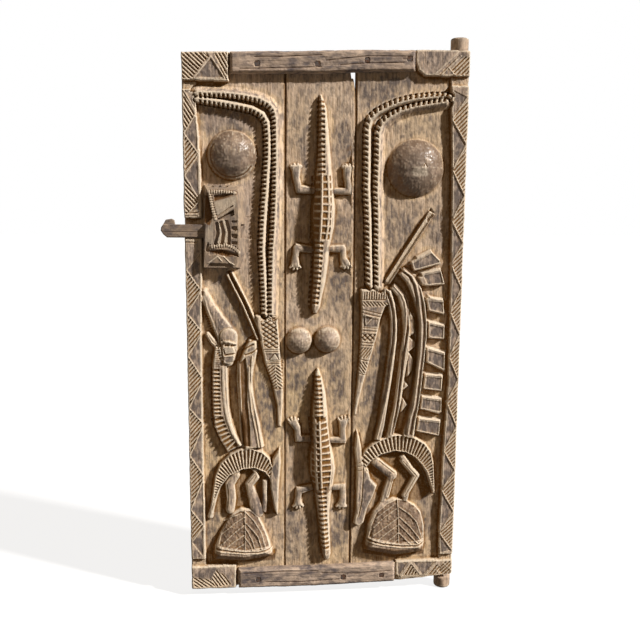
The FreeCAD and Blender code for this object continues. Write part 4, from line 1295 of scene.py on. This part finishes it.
# Crocodiles: a bare crest, rib bars across the back, and dark cells between them
upper_crest = [
    (-299, 1104), (-298, 1000), (-297, 930), (-298, 860), (-301, 800), (-303, 728), (-308, 678),
    (-311, 648),
]
upper_reaches = [6.0, 12.0, 18.0, 24.0, 20.0, 16.0, 12.0, 7.0]
upper_side_line = [(-284, 940), (-281, 880), (-284, 828), (-291, 780)]
upper_far_line = [(-310, 950), (-315, 900), (-316, 850), (-314, 800)]
lower_crest = [
    (-306, 506), (-301, 460), (-299, 400), (-296, 328), (-295, 278), (-292, 228), (-288, 184), (-285, 128),
    (-281, 66),
]
lower_reaches = [6.0, 14.0, 19.0, 24.0, 24.0, 20.0, 16.0, 13.0, 8.0]
lower_side_line = [(-282, 402), (-274, 350), (-269, 290), (-273, 235)]
lower_far_line = [(-309, 400), (-308, 338), (-306, 280), (-302, 235)]
rib_zones = [
    ([(-300, 1098), (-299, 1000), (-298, 940)], 16.0, 10.5, 5.2),
    ([(-298, 940), (-297, 880), (-301, 800)], 42.0, 15.5, 11.0),
    ([(-304, 800), (-308, 740), (-314, 655)], 22.0, 11.0, 5.6),
    ([(-305, 500), (-302, 452), (-300, 405)], 18.0, 10.0, 5.2),
    ([(-302, 405), (-294, 330), (-292, 240)], 43.0, 14.0, 9.5),
    ([(-291, 240), (-289, 180), (-286, 130), (-281, 84)], 18.0, 11.0, 5.6),
]
rib_depth = 3.2
kept_zone_width = 30.0
crest_bank = [(-1, 0), (0, 13), (8, 9), (16, 3.5), (24, 0)]
crest_width = 3.4
crest_height = 1.2
crocodile_legs = [
    [(-307, 906), (-345, 908), (-351, 932), (-352, 950)],
    [(-272, 905), (-237, 906), (-241, 932), (-240, 950)],
    [(-305, 778), (-350, 783), (-353, 762), (-353, 748)],
    [(-287, 781), (-249, 781), (-247, 760), (-241, 750)],
    [(-310, 350), (-345, 351), (-347, 374), (-357, 388)],
    [(-277, 347), (-243, 346), (-245, 372), (-243, 388)],
    [(-310, 236), (-343, 229), (-345, 210), (-345, 198)],
    [(-269, 234), (-243, 234), (-242, 208), (-245, 195)],
]
leg_half_widths = [5.0, 6.5, 5.5, 6.5]
leg_height = 10.0
leg_flank = 1.8
finger_reach = [(-11, 8), (-4, 12), (4, 12), (11, 8)]
finger_half_widths = [3.6, 2.0]
finger_height = 8.0
leg_patina = 0.85


def crocodiles(board):
    for leg in crocodile_legs:
        board.swell(on_door(leg), leg_half_widths, leg_height, leg_flank, patina=leg_patina, dull=0.5)
        before_z = leg[-2][1]
        palm_x, palm_z = leg[-1]
        sense = 1 if palm_z > before_z else -1
        for reach_x, reach_z in finger_reach:
            finger = [(palm_x + reach_x / 3, palm_z), (palm_x + reach_x, palm_z + sense * reach_z)]
            board.swell(on_door(finger), finger_half_widths, finger_height, flank=1.5, wear=0.4)
    kept = [on_door(line) for line in (
        upper_crest, upper_side_line, upper_far_line, lower_crest, lower_side_line, lower_far_line)]
    each(board.bank, (upper_crest, lower_crest), crest_bank)
    for line, width, pitch, gap in rib_zones:
        lines = kept if width > kept_zone_width else []
        board.teeth(on_door(line), width, pitch, gap, rib_depth, lines, grime=0.9, patina=0.9, dull=1.0)
    each(board.ridge, (upper_crest, lower_crest), crest_width, crest_height, wear=0.7)


# Right figures
horn_strip_width = 6.5
horn_strip_depth = 2.6
horn_rim_width = 3.6
horn_rim_height = 1.6
first_horn = [
    (-147, 690), (-138, 668), (-131, 640), (-129, 600), (-130, 575), (-136, 525), (-141, 481), (-148, 437),
    (-157, 393), (-167, 349),
]
second_horn = [
    (-136, 700), (-119, 682), (-110, 663), (-106, 637), (-107, 602), (-110, 578), (-114, 549), (-118, 510),
    (-122, 472), (-127, 420), (-136, 360),
]
third_horn = [
    (-117, 737), (-97, 722), (-86, 702), (-79, 672), (-75, 643), (-71, 613), (-71, 578), (-72, 546),
    (-76, 510),
    (-79, 472), (-83, 428), (-90, 399), (-96, 360),
]
horn_rims = [(first_horn, 0), (second_horn, 0), (second_horn, 9.0), (third_horn, 0), (third_horn, 11.0)]
horn_strips = [(first_horn, -5.5), (second_horn, 4.6), (third_horn, -6.0), (third_horn, 5.6)]
horn_web = [(-98, 648), (-85, 622), (-82, 560), (-88, 505), (-101, 488), (-100, 560)]
horn_web_cuts = [[(-98, 584), (-82, 599), (-82, 571)], [(-99, 550), (-82, 563), (-85, 532)]]
horn_teeth = [[(-106, 484), (-94, 472), (-110, 458)], [(-109, 446), (-96, 428), (-114, 404)]]
horn_tooth_height = 9.0
blocks = [
    [(-100, 754), (-53, 779), (-31, 757), (-29, 748), (-91, 731)],
    [(-77, 729), (-29, 738), (-18, 702), (-62, 698)],
    [(-63, 674), (-21, 670), (-17, 633), (-56, 643)],
    [(-56, 621), (-16, 612), (-16, 577), (-55, 581)],
    [(-58, 562), (-13, 549), (-13, 503), (-57, 525)],
    [(-60, 500), (-17, 497), (-18, 457), (-64, 463)],
    [(-66, 449), (-17, 442), (-17, 406), (-69, 416)],
    [(-72, 398), (-18, 391), (-21, 351), (-77, 364)],
]
block_height = 12.0
block_line_drop = 7.0
block_inset = 4.0
right_crescent = [
    (-206, 297), (-194, 324), (-178, 338), (-155, 350), (-125, 360), (-100, 359), (-75, 351), (-52, 336),
    (-38, 316), (-32, 288), (-29, 248), (-27, 214), (-34, 214), (-42, 243), (-50, 267), (-62, 284),
    (-78, 302), (-100, 314), (-125, 318), (-155, 310), (-178, 294), (-194, 274),
]
right_fan_centre = (-112, 228)
right_fan_radius = 105.0
right_crescent_lines = [
    [(-190, 284), (-176, 298), (-155, 313), (-125, 322), (-100, 318), (-78, 307), (-60, 287), (-47, 262),
     (-38, 232)],
    [(-190, 278), (-175, 291), (-155, 306), (-125, 315), (-100, 311), (-80, 300), (-64, 281), (-51, 256),
     (-42, 228)],
]
right_head_lines = [
    [(-206, 362), (-200, 330), (-196, 296), (-197, 250), (-199, 200), (-206, 164)],
    [(-199, 300), (-190, 276), (-176, 258), (-166, 246)],
    [(-209, 292), (-201, 296)], [(-209, 284), (-200, 286)],
    [(-209, 274), (-200, 276)], [(-213, 250), (-212, 200), (-210, 170)],
]
right_head_dark = [(-192, 268), (-168, 246), (-176, 214), (-190, 180), (-196, 220)]
right_legs = [
    ([(-166, 292), (-128, 261)], [9.0, 10.0]), ([(-130, 258), (-141, 210)], [6.0, 6.0]),
    ([(-104, 294), (-72, 258), (-98, 210)], [5.0, 6.5, 5.5]),
]
right_leg_lines = [
    [(-160, 296), (-124, 266)], [(-128, 252), (-138, 212)], [(-104, 294), (-72, 258), (-98, 210)],
]
right_leg_dark = [(-174, 288), (-166, 284), (-134, 256), (-126, 248), (-132, 246), (-150, 262)]
right_recess = [
    (-190, 276), (-155, 303), (-112, 314), (-75, 298), (-50, 258), (-38, 218), (-60, 196), (-110, 203),
    (-148, 196), (-170, 230),
]
right_mound_veins = [
    [(-115, 203), (-113, 150), (-112, 99)],
    [(-125, 188), (-144, 175), (-165, 158)], [(-115, 158), (-146, 136), (-180, 113)],
    [(-115, 141), (-140, 124), (-163, 106)], [(-115, 123), (-128, 112), (-142, 102)],
    [(-114, 108), (-120, 103), (-128, 100)], [(-118, 180), (-150, 158), (-177, 132)],
    [(-110, 183), (-88, 168), (-70, 148), (-57, 108)], [(-110, 160), (-88, 140), (-70, 118), (-58, 102)],
    [(-110, 143), (-88, 120), (-68, 99)], [(-110, 123), (-98, 110), (-85, 98)],
]
right_mound_lip = [
    [(-184, 113), (-150, 103), (-110, 97), (-72, 96), (-52, 102)],
    [(-186, 105), (-150, 96), (-110, 90), (-72, 89), (-50, 95)],
]
right_mound_shaded_underside = [
    (-190, 92), (-150, 88), (-110, 84), (-72, 84), (-48, 88), (-50, 64), (-120, 58), (-190, 70),
]
right_mound_cells = [
    (-182, 114), (-176, 142), (-164, 172), (-140, 192), (-115, 202), (-92, 197), (-70, 182), (-56, 160),
    (-52, 106), (-112, 98),
]
snake_arch = [(-34, 1118), (-24, 1130), (-17, 1122), (-20, 1108)]


def horns(board):
    each(board.block, [horn_web] + horn_teeth, horn_tooth_height, bevel=2.0)
    each(board.panel, horn_web_cuts, inset=0.0, depth=horn_tooth_height, grime=1.0, dull=1.0)
    for line, shift in horn_strips:
        line = on_door(beside(line, shift))
        board.groove(line, horn_strip_width, horn_strip_depth, grime=0.3, dull=1.0)
        board.stroke(line, 1.5 * horn_strip_width, patina=1.0)
    for line, shift in horn_rims:
        board.ridge(on_door(beside(line, shift)), horn_rim_width, horn_rim_height, wear=1.0)


def block_column(board):
    for corners in blocks:
        corners = on_door(corners)
        board.block(corners, block_height)
        board.panel(corners, block_inset, depth=1.4, patina=1.0, dull=0.7)
        (first_x, first_z), (last_x, last_z) = corners[:2]
        top = [(first_x, first_z - block_line_drop), (last_x, last_z - block_line_drop)]
        board.ridge(top, rim_width, height=1.6, wear=1.0)
        board.stroke(corners[:2], 2 * line_width, wear=1.0)
        board.stroke(corners[-2:], line_width, wear=0.8)


def right_figures(board):
    horns(board)
    block_column(board)
    crescent(board, right_crescent, right_fan_centre, right_fan_radius, right_crescent_lines)
    each(board.groove, right_head_lines)
    board.paint(on_door(right_head_dark), patina=0.9)
    for line, half_widths in right_legs:
        board.swell(on_door(line), half_widths, raised_leg_height)
    each(board.groove, right_leg_lines)
    board.paint(on_door(right_leg_dark), patina=0.9, dull=1.0)
    board.soil_and_shade(on_door(right_recess), recess_grime)
    mound(board, right_mound_cells, right_mound_veins, right_mound_lip, right_mound_shaded_underside)
    board.panel(on_door(snake_arch), inset=0.0, depth=3.0, grime=1.0)


# Whole planks
left_plain_lines = [
    [(-589, 858), (-563, 858)],
    [(-589, 851), (-563, 851)], [(-589, 803), (-565, 803)], [(-589, 795), (-565, 795)],
]
left_patches = [
    [(-548, 1078), (-500, 1085), (-462, 1068), (-440, 1042), (-470, 1030), (-540, 1030)],
    [(-522, 715), (-500, 735), (-470, 640), (-440, 600), (-470, 570), (-506, 640)],
    [(-436, 500), (-420, 470), (-402, 420), (-404, 360), (-425, 380), (-440, 440)],
    [(-560, 180), (-540, 200), (-530, 150), (-545, 100), (-556, 130)],
]
right_patches = [
    [(-215, 1130), (-170, 1145), (-100, 1140), (-140, 1100), (-190, 1080)],
    [(-150, 880), (-110, 850), (-85, 860), (-110, 800), (-145, 780)],
    [(-40, 880), (-34, 800), (-50, 790), (-60, 850)],
    [(-182, 530), (-160, 560), (-170, 480), (-172, 410), (-192, 420)],
    [(-60, 215), (-38, 200), (-36, 120), (-50, 110)],
]
centre_patches = [
    [(-270, 1030), (-245, 1060), (-235, 990), (-265, 960)], [(-345, 1000), (-328, 1040), (-332, 960)],
    [(-262, 860), (-238, 840), (-236, 780), (-262, 800)],
    [(-280, 730), (-240, 740), (-236, 660), (-262, 650)],
    [(-272, 560), (-246, 540), (-246, 440), (-272, 430)],
    [(-368, 540), (-330, 530), (-336, 450), (-368, 470)],
    [(-268, 175), (-236, 160), (-232, 100), (-262, 90)], [(-366, 180), (-336, 150), (-346, 70), (-368, 80)],
]
patch_strength = 0.7
patch_soft = 14.0
bolt_path = [(-600, 802), (-430, 850)]
bolt_room = 0.9


def carve_left(board):
    for border in left_borders:
        zigzag_border(board, left_border_outer_x, *border)
    each(board.groove, left_plain_lines)
    corner_blocks_left(board)
    snakes(board, left_span, left_snake_shares, (snake_long_back, snake_steep_back),
           left_snake_pitch, left_snake_slant)
    left_tail(board)
    blade_with_painted_shade(board, on_door(left_blade))
    left_figures(board)
    each(board.paint, left_patches, patch_soft, patina=patch_strength)
    dome_skin(board, left_dome, 90, 1.0)
    dome_step(board, left_dome)
    board.cut(board.near(on_door(bolt_path)), 1.0, bolt_room)


def carve_centre(board):
    crocodiles(board)
    each(board.paint, centre_patches, patch_soft, patina=patch_strength)
    for dome in small_domes:
        dome_skin(board, dome, 94, 0.6)


def carve_right(board):
    zigzag_border(board, right_border_outer_x, *right_border)
    corner_blocks_right(board)
    snakes(board, right_span, right_snake_shares, (snake_steep_back, snake_long_back),
           right_snake_pitch, right_snake_slant)
    right_tail(board)
    blade_with_painted_highlight(board, on_door(right_blade))
    board.panel(on_door(right_blade_hollow), inset=0.0, depth=4.0, grime=1.0)
    right_figures(board)
    each(board.paint, right_patches, patch_soft, patina=patch_strength)
    dome_skin(board, right_dome, 97, 1.0)
    board.groove(on_door(right_dome_nick))
    board.paint(on_door(right_dome_bare), wear=0.55)


# Lock case: notched bands, ribs and an eye-shaped hollow
case_top_band = [(-537, 902), (-510, 903), (-482, 900)]
case_left_band = [(-536, 896), (-531, 870), (-524, 845)]
case_panel = [(-524, 880), (-482, 892), (-482, 874), (-518, 850)]
case_bar_lines = [[(-520, 851), (-488, 873)], [(-518, 845), (-488, 861)]]
case_ribs = [[(-519, 792), (-513, 815), (-516, 841)], [(-504, 792), (-500, 816), (-507, 843)]]
case_facet = [(-548, 818), (-530, 838), (-532, 792), (-545, 800)]
case_arc_band = [(-538, 786), (-518, 789), (-500, 790), (-486, 784), (-475, 774)]
case_teeth = [(-526, 772), (-512, 776), (-500, 770)]
case_wedge_lines = [[(-540, 752), (-521, 766), (-512, 756)], [(-508, 766), (-496, 754), (-486, 748)]]
# Painted shade below the top band and the arc band, and on the sunk strip at the left
case_painted_shade = [
    [(-526, 893), (-482, 899), (-504, 890), (-526, 884)],
    [(-536, 776), (-512, 780), (-478, 768), (-500, 766)],
    [(-549, 896), (-537, 892), (-532, 850), (-536, 832), (-549, 840)],
]


def carve_case(surface):
    for line in (case_top_band, case_left_band, case_arc_band):
        surface.ridge(on_door(line), width=9.0, height=1.2, wear=0.7)
        surface.teeth(on_door(line), width=10.0, pitch=5.2, gap=2.2, depth=1.8, grime=0.9)
    surface.paint(on_door(case_panel), wear=0.5)
    each(surface.groove, case_bar_lines, width=4.6, depth=4.0, grime=1.0, dull=1.0)
    surface.teeth(on_door(case_teeth), width=7.0, pitch=4.4, gap=1.8, depth=1.6, grime=0.9)
    each(surface.stroke, case_ribs, width=5.0, wear=0.9)
    surface.paint(on_door(case_facet), patina=0.2, wear=0.3)
    # Painted shade, in the grime tone
    each(surface.paint, case_painted_shade, soft=2.0, grime=1.0, dull=1.0)
    each(surface.ridge, case_wedge_lines, width=4.0, height=1.0, wear=0.9)


# Battens: long shakes along the grain, a rubbed upper edge
batten_shakes = [
    [(-470, 1156), (-360, 1160), (-300, 1163)], [(-440, 1180), (-380, 1182), (-300, 1187)],
    [(-290, 1176), (-200, 1187), (-112, 1188)], [(-260, 1168), (-190, 1173), (-125, 1175)],
    [(-470, 34), (-380, 37), (-300, 35)], [(-420, 12), (-330, 10), (-250, 13)],
    [(-290, 30), (-210, 26), (-130, 30)],
]
top_slot = [(-126, 1184), (-112, 1184)]
batten_marks = [[(-436, 1166), (-431, 1163)], [(-314, 1171), (-304, 1168)]]


def carve_batten(surface):
    each(surface.groove, batten_shakes, width=3.2, depth=1.6, grime=0.9)
    surface.groove(on_door(top_slot), width=8.0, depth=1.0, grime=0.6)
    each(surface.groove, batten_marks, width=6.0, depth=2.0, grime=1.0)


bolt_low, bolt_high = (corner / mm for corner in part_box("lock_bolt"))
bolt_line_shares = (0.3, 0.62)
bolt_line_start, bolt_line_end = 8.0, 4.0


def carve_bolt(surface):
    for share in bolt_line_shares:
        z = bolt_low.z + share * (bolt_high.z - bolt_low.z)
        line = [(bolt_low.x + bolt_line_start, z), (bolt_high.x - bolt_line_end, z + 1)]
        surface.groove(line, width=2.4, depth=0.9, grime=0.7)


def free_ledges(points):
    """Sink the ledges in the bores, so that the pins' heads don't touch them when they drop."""
    for number in pin_numbers:
        low, high = (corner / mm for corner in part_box("lock_tumbler_%d" % number))
        ledge_z = high.z - pin_head_height - pin_drop
        from_axis = np.hypot(points[:, 0] - (low.x + high.x) / 2, points[:, 1] - (low.y + high.y) / 2)
        at_ledge = from_axis < (high.x - low.x) / 2 + ledge_reach
        at_ledge &= np.abs(points[:, 2] - ledge_z) < ledge_reach
        points[at_ledge, 2] -= ledge_sink


# Materials
wood_gloss = 0.2
broad_scale = 21
dust_scale = 55
blot_scale = 150
fleck_scale = 300
fibre_scale = 420
rust_scale = 160
pit_scale = 900
plain_rough, patina_rough, polish_rough = 0.82, 0.62, 0.31
even = (1, 1, 1)
white = (1, 1, 1)


def new_material(name):
    material = bpy.data.materials.new(name)
    material.use_nodes = True
    tree = material.node_tree
    return material, tree, tree.nodes["Principled BSDF"]


def speckle(tree, stretch, scale, detail, shift):
    """Noise texture on the object itself, drawn out along an axis by its stretch."""
    place = tree.nodes.new("ShaderNodeTexCoord")
    mapping = tree.nodes.new("ShaderNodeMapping")
    mapping.inputs["Scale"].default_value = stretch
    mapping.inputs["Location"].default_value = (shift, shift, shift)
    texture = tree.nodes.new("ShaderNodeTexNoise")
    texture.inputs["Scale"].default_value = scale
    texture.inputs["Detail"].default_value = detail
    tree.links.new(place.outputs["Object"], mapping.inputs["Vector"])
    tree.links.new(mapping.outputs["Vector"], texture.inputs["Vector"])
    return texture.outputs["Fac"]


def levels(tree, value, low, high, new_low=0.0, new_high=1.0):
    node = tree.nodes.new("ShaderNodeMapRange")
    for key, number in (("From Min", low), ("From Max", high), ("To Min", new_low), ("To Max", new_high)):
        node.inputs[key].default_value = number
    tree.links.new(value, node.inputs["Value"])
    return node.outputs["Result"]


def combined(tree, operation, first, second):
    node = tree.nodes.new("ShaderNodeMath")
    node.operation = operation
    node.use_clamp = True
    for socket, value in zip(node.inputs, (first, second)):
        if isinstance(value, float):
            socket.default_value = value
        else:
            tree.links.new(value, socket)
    return node.outputs[0]


def layer_of(tree, name):
    node = tree.nodes.new("ShaderNodeAttribute")
    node.attribute_name = name
    return node.outputs["Fac"]


def blended(tree, factor, first, second):
    """Mix of two colours, each a colour or a socket."""
    node = tree.nodes.new("ShaderNodeMix")
    node.data_type = "RGBA"
    tree.links.new(factor, node.inputs["Factor"])
    for socket, value in ((node.inputs[6], first), (node.inputs[7], second)):
        if isinstance(value, tuple):
            socket.default_value = (*value, 1)
        else:
            tree.links.new(value, socket)
    return node.outputs[2]


def blended_value(tree, factor, first, second):
    node = tree.nodes.new("ShaderNodeMix")
    tree.links.new(factor, node.inputs["Factor"])
    for socket, value in ((node.inputs[2], first), (node.inputs[3], second)):
        if isinstance(value, float):
            socket.default_value = value
        else:
            tree.links.new(value, socket)
    return node.outputs[0]


def add_bump(tree, shader, height, distance):
    bump = tree.nodes.new("ShaderNodeBump")
    bump.inputs["Distance"].default_value = distance * mm
    bump.inputs["Strength"].default_value = 1.0
    tree.links.new(height, bump.inputs["Height"])
    tree.links.new(bump.outputs["Normal"], shader.inputs["Normal"])


def wood(name, tones, grain, shift):
    """Old carved wood: grain, pores, dark patina, grime in the cuts that also paints shade and a cast
    shadow, and rubbed edges.
    """
    material, tree, shader = new_material(name)
    broad = levels(tree, speckle(tree, even, broad_scale, 4, shift), 0.36, 0.64)
    fibres = speckle(tree, grain, fibre_scale, 6, shift)
    blots = speckle(tree, tuple(max(part, 0.4) for part in grain), blot_scale, 6, shift)
    fleck = speckle(tree, even, fleck_scale, 6, shift)
    dust = speckle(tree, even, dust_scale, 6, shift + 1)

    colour = blended(tree, broad, tones["light"], tones["deep"])
    colour = blended(tree, layer_of(tree, "bare"), colour, tones["bare"])
    colour = blended(tree, levels(tree, fibres, 0.48, 0.68, 0.0, 0.42), colour, tones["streak"])
    colour = blended(tree, levels(tree, blots, 0.49, 0.62, 0.0, 0.5), colour, tones["patina"])
    patina = combined(tree, "MULTIPLY", layer_of(tree, "patina"), levels(tree, dust, 0.36, 0.58, 0.5, 1.25))
    patina = combined(tree, "MULTIPLY", patina, levels(tree, blots, 0.38, 0.56, 0.6, 1.15))
    colour = blended(tree, patina, colour, tones["patina"])
    handled = combined(tree, "MULTIPLY", layer_of(tree, "polish"), levels(tree, dust, 0.4, 0.56, 0.4, 0.85))
    colour = blended(tree, handled, colour, tones["handled"])
    # Grime tone, which paints dirt and also the painted shade and painted cast shadow
    grime = combined(tree, "MULTIPLY", layer_of(tree, "grime"), levels(tree, fleck, 0.3, 0.55, 0.75, 1.1))
    colour = blended(tree, grime, colour, tones["grime"])
    wear = combined(tree, "MULTIPLY", layer_of(tree, "wear"), levels(tree, fleck, 0.34, 0.6, 1.1, 0.6))
    colour = blended(tree, wear, colour, tones["wear"])
    tree.links.new(colour, shader.inputs["Base Color"])

    polish = layer_of(tree, "polish")
    rough = blended_value(tree, patina, plain_rough, patina_rough)
    rough = blended_value(tree, polish, rough, polish_rough)
    rough = combined(tree, "ADD", rough, levels(tree, fleck, 0.3, 0.7, -0.08, 0.1))
    tree.links.new(rough, shader.inputs["Roughness"])
    shader.inputs["Specular IOR Level"].default_value = wood_gloss

    height = combined(tree, "MULTIPLY", fibres, 0.6)
    height = combined(tree, "ADD", height, combined(tree, "MULTIPLY", fleck, 0.4))
    height = blended_value(tree, polish, height, levels(tree, dust, 0.3, 0.7, 0.4, 0.6))
    add_bump(tree, shader, height, distance=1.1)
    return material


def iron(name, tone, rust, shift):
    """Forged iron, scaled and rusty."""
    material, tree, shader = new_material(name)
    patches = levels(tree, speckle(tree, even, rust_scale, 6, shift), 0.4, 0.62)
    pits = speckle(tree, even, pit_scale, 4, shift)
    tree.links.new(blended(tree, patches, tone, rust), shader.inputs["Base Color"])
    tree.links.new(levels(tree, patches, 0, 1, 0.5, 0.85), shader.inputs["Roughness"])
    shader.inputs["Metallic"].default_value = 0.55
    add_bump(tree, shader, pits, distance=0.3)
    return material


# The grime tones paint dirt and also painted shade and a painted cast shadow
plank_tones = {
    "light": (0.77, 0.61, 0.48), "deep": (0.66, 0.50, 0.385), "bare": (0.77, 0.575, 0.34),
    "streak": (0.32, 0.20, 0.105), "patina": (0.17, 0.135, 0.115), "grime": (0.19, 0.088, 0.018),
    "wear": (0.70, 0.60, 0.47), "handled": (0.20, 0.145, 0.105),
}
batten_tones = {
    "light": (0.66, 0.51, 0.39), "deep": (0.50, 0.38, 0.285), "bare": (0.62, 0.45, 0.29),
    "streak": (0.12, 0.08, 0.055), "patina": (0.13, 0.105, 0.10), "grime": (0.10, 0.055, 0.03),
    "wear": (0.76, 0.60, 0.44), "handled": (0.12, 0.08, 0.055),
}
lock_tones = {
    "light": (0.49, 0.37, 0.255), "deep": (0.36, 0.265, 0.18), "bare": (0.49, 0.35, 0.205),
    "streak": (0.26, 0.165, 0.10), "patina": (0.18, 0.14, 0.115), "grime": (0.14, 0.064, 0.018),
    "wear": (0.80, 0.68, 0.52), "handled": (0.26, 0.165, 0.10),
}
bolt_tones = {
    "light": (0.52, 0.40, 0.29), "deep": (0.36, 0.26, 0.18), "bare": (0.5, 0.37, 0.24),
    "streak": (0.15, 0.095, 0.06), "patina": (0.15, 0.12, 0.105), "grime": (0.11, 0.06, 0.03),
    "wear": (0.72, 0.58, 0.43), "handled": (0.15, 0.095, 0.06),
}
peg_tones = {
    "light": (0.48, 0.35, 0.22), "deep": (0.36, 0.25, 0.15), "bare": (0.5, 0.36, 0.22),
    "streak": (0.22, 0.14, 0.08), "patina": (0.19, 0.155, 0.13), "grime": (0.14, 0.085, 0.04),
    "wear": (0.58, 0.45, 0.31), "handled": (0.22, 0.14, 0.08),
}
iron_tone = (0.075, 0.06, 0.052)
rust_tone = (0.12, 0.055, 0.028)
upright_grain = (1, 1, 0.05)
level_grain = (0.05, 1, 1)
depth_grain = (1, 0.05, 1)
materials = {
    "plank_wood": wood("plank_wood", plank_tones, upright_grain, shift=0.0),
    "batten_wood": wood("batten_wood", batten_tones, level_grain, shift=3.1),
    "lock_wood": wood("lock_wood", lock_tones, upright_grain, shift=5.7),
    "bolt_wood": wood("bolt_wood", bolt_tones, level_grain, shift=7.3),
    "peg_wood": wood("peg_wood", peg_tones, depth_grain, shift=9.9),
    "forged_iron": iron("forged_iron", iron_tone, rust_tone, shift=11.3),
}


# Camera, light and floor
def make_camera():
    pitch, yaw, roll = (math.radians(value) for value in (camera_pitch, camera_yaw, camera_roll))
    ahead = Vector((math.sin(yaw) * math.cos(pitch), math.cos(yaw) * math.cos(pitch), -math.sin(pitch)))
    level = Vector((math.cos(yaw), -math.sin(yaw), 0))
    up = level.cross(ahead)
    right = math.cos(roll) * level + math.sin(roll) * up
    top = -math.sin(roll) * level + math.cos(roll) * up
    data = bpy.data.cameras.new("camera")
    data.lens = camera_lens
    data.sensor_width = camera_sensor
    camera = bpy.data.objects.new("camera", data)
    turn = Matrix((right, top, -ahead)).transposed()
    camera.matrix_world = Matrix.Translation(camera_place) @ turn.to_4x4()
    bpy.context.scene.collection.objects.link(camera)
    bpy.context.scene.camera = camera


def make_light():
    data = bpy.data.lights.new("key", "SUN")
    data.energy = key_strength
    data.color = key_colour
    data.angle = math.radians(key_spread_degrees)
    lamp = bpy.data.objects.new("key", data)
    lamp.rotation_mode = "QUATERNION"
    lamp.rotation_quaternion = Vector(key_travel).to_track_quat("-Z", "Y")
    bpy.context.scene.collection.objects.link(lamp)


def camera_sees(tree):
    """1 for rays from the camera and for those that mirrors and glass pass on."""
    path = tree.nodes.new("ShaderNodeLightPath")
    total = path.outputs["Is Camera Ray"]
    for name in ("Is Glossy Ray", "Is Transmission Ray"):
        add = tree.nodes.new("ShaderNodeMath")
        add.operation = "MAXIMUM"
        tree.links.new(total, add.inputs[0])
        tree.links.new(path.outputs[name], add.inputs[1])
        total = add.outputs[0]
    return total


def mixed_shader(tree, share, first, second):
    node = tree.nodes.new("ShaderNodeMixShader")
    if isinstance(share, float):
        node.inputs[0].default_value = share
    else:
        tree.links.new(share, node.inputs[0])
    tree.links.new(first, node.inputs[1])
    tree.links.new(second, node.inputs[2])
    return node.outputs[0]


def coloured(tree, kind, colour, strength=None):
    node = tree.nodes.new(kind)
    node.inputs["Color"].default_value = (*colour, 1)
    if strength is not None:
        node.inputs["Strength"].default_value = strength
    return node.outputs[0]


def make_world():
    world = bpy.data.worlds.new("studio")
    bpy.context.scene.world = world
    world.use_nodes = True
    tree = world.node_tree
    tree.nodes.clear()
    front = coloured(tree, "ShaderNodeBackground", fill_colour, fill_strength)
    back = coloured(tree, "ShaderNodeBackground", back_fill_colour, back_fill_strength)
    direction = tree.nodes.new("ShaderNodeTexCoord")
    parts = tree.nodes.new("ShaderNodeSeparateXYZ")
    tree.links.new(direction.outputs["Generated"], parts.inputs[0])
    fill = mixed_shader(tree, levels(tree, parts.outputs["Y"], 0.0, 0.5), front, back)
    bright = coloured(tree, "ShaderNodeBackground", white, 1)
    output = tree.nodes.new("ShaderNodeOutputWorld")
    tree.links.new(mixed_shader(tree, camera_sees(tree), fill, bright), output.inputs[0])


def make_floor():
    """Pale floor that looks white around the object's shadow and throws little light back."""
    half = floor_size / 2
    foot_z = cad_low.z / mm
    corners = [(-half, -half, foot_z), (half, -half, foot_z), (half, half, foot_z), (-half, half, foot_z)]
    floor = new_object("floor", corners, [[0, 1, 2, 3]])
    material = bpy.data.materials.new("floor")
    material.use_nodes = True
    tree = material.node_tree
    tree.nodes.clear()
    plain = coloured(tree, "ShaderNodeBsdfDiffuse", (floor_tone, floor_tone, floor_tone))
    pale = coloured(tree, "ShaderNodeBsdfDiffuse", white)
    glow = coloured(tree, "ShaderNodeEmission", white, floor_glow)
    seen = mixed_shader(tree, floor_glow_share, pale, glow)
    output = tree.nodes.new("ShaderNodeOutputMaterial")
    tree.links.new(mixed_shader(tree, camera_sees(tree), plain, seen), output.inputs[0])
    floor.data.materials.append(material)


left_board = Board("left_plank", seams=[1], seed=200)
centre_board = Board("centre_plank", seams=[-1, 1], seed=210, bends=[
    (upper_crest, upper_reaches), (lower_crest, lower_reaches)])
right_board = Board("right_plank", seams=[-1], seed=220)
carve_left(left_board)
carve_centre(centre_board)
carve_right(right_board)
plank("left_plank_carved", "left_plank", left_board, seed=10)
plank("centre_plank_carved", "centre_plank", centre_board, seed=30)
plank("right_plank_carved", "right_plank", right_board, seed=50)
right_low, right_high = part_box("right_plank")
pintle("upper_pintle", lower_edge_z + door_height, right_high.z / mm, seed=70)
pintle("lower_pintle", lower_edge_z + pintle_bury, right_low.z / mm, seed=74)

for node, seed, patina in (("top_batten", 110, 0.4), ("bottom_batten", 120, 0.5)):
    weathered(node, "door", "batten_wood", batten_voxel, seed, roughness=0.5, patina=patina,
              carve=carve_batten)
for node, seed in (("top_batten_nails", 130), ("bottom_batten_nails", 140)):
    weathered(node, "door", "forged_iron", nail_voxel, seed, roughness=0.15, patina=0.0)
weathered("lock_case", "door", "lock_wood", small_voxel, 150, roughness=0.25, patina=0.4, carve=carve_case,
          along=2, fit=free_ledges)
for node, seed in (("lock_case_pegs", 160), ("lock_channel_plugs", 170)):
    weathered(node, "door", "peg_wood", nail_voxel, seed, roughness=0.1, patina=0.4)
weathered("lock_bolt", "bolt", "bolt_wood", small_voxel, 180, roughness=0.15, patina=0.6, carve=carve_bolt)
for number in pin_numbers:
    name = "lock_tumbler_%d" % number
    nodes[name].data.materials.clear()
    nodes[name].data.materials.append(materials["forged_iron"])

make_camera()
make_light()
make_world()
make_floor()
bpy.context.scene.view_settings.view_transform = "Standard"
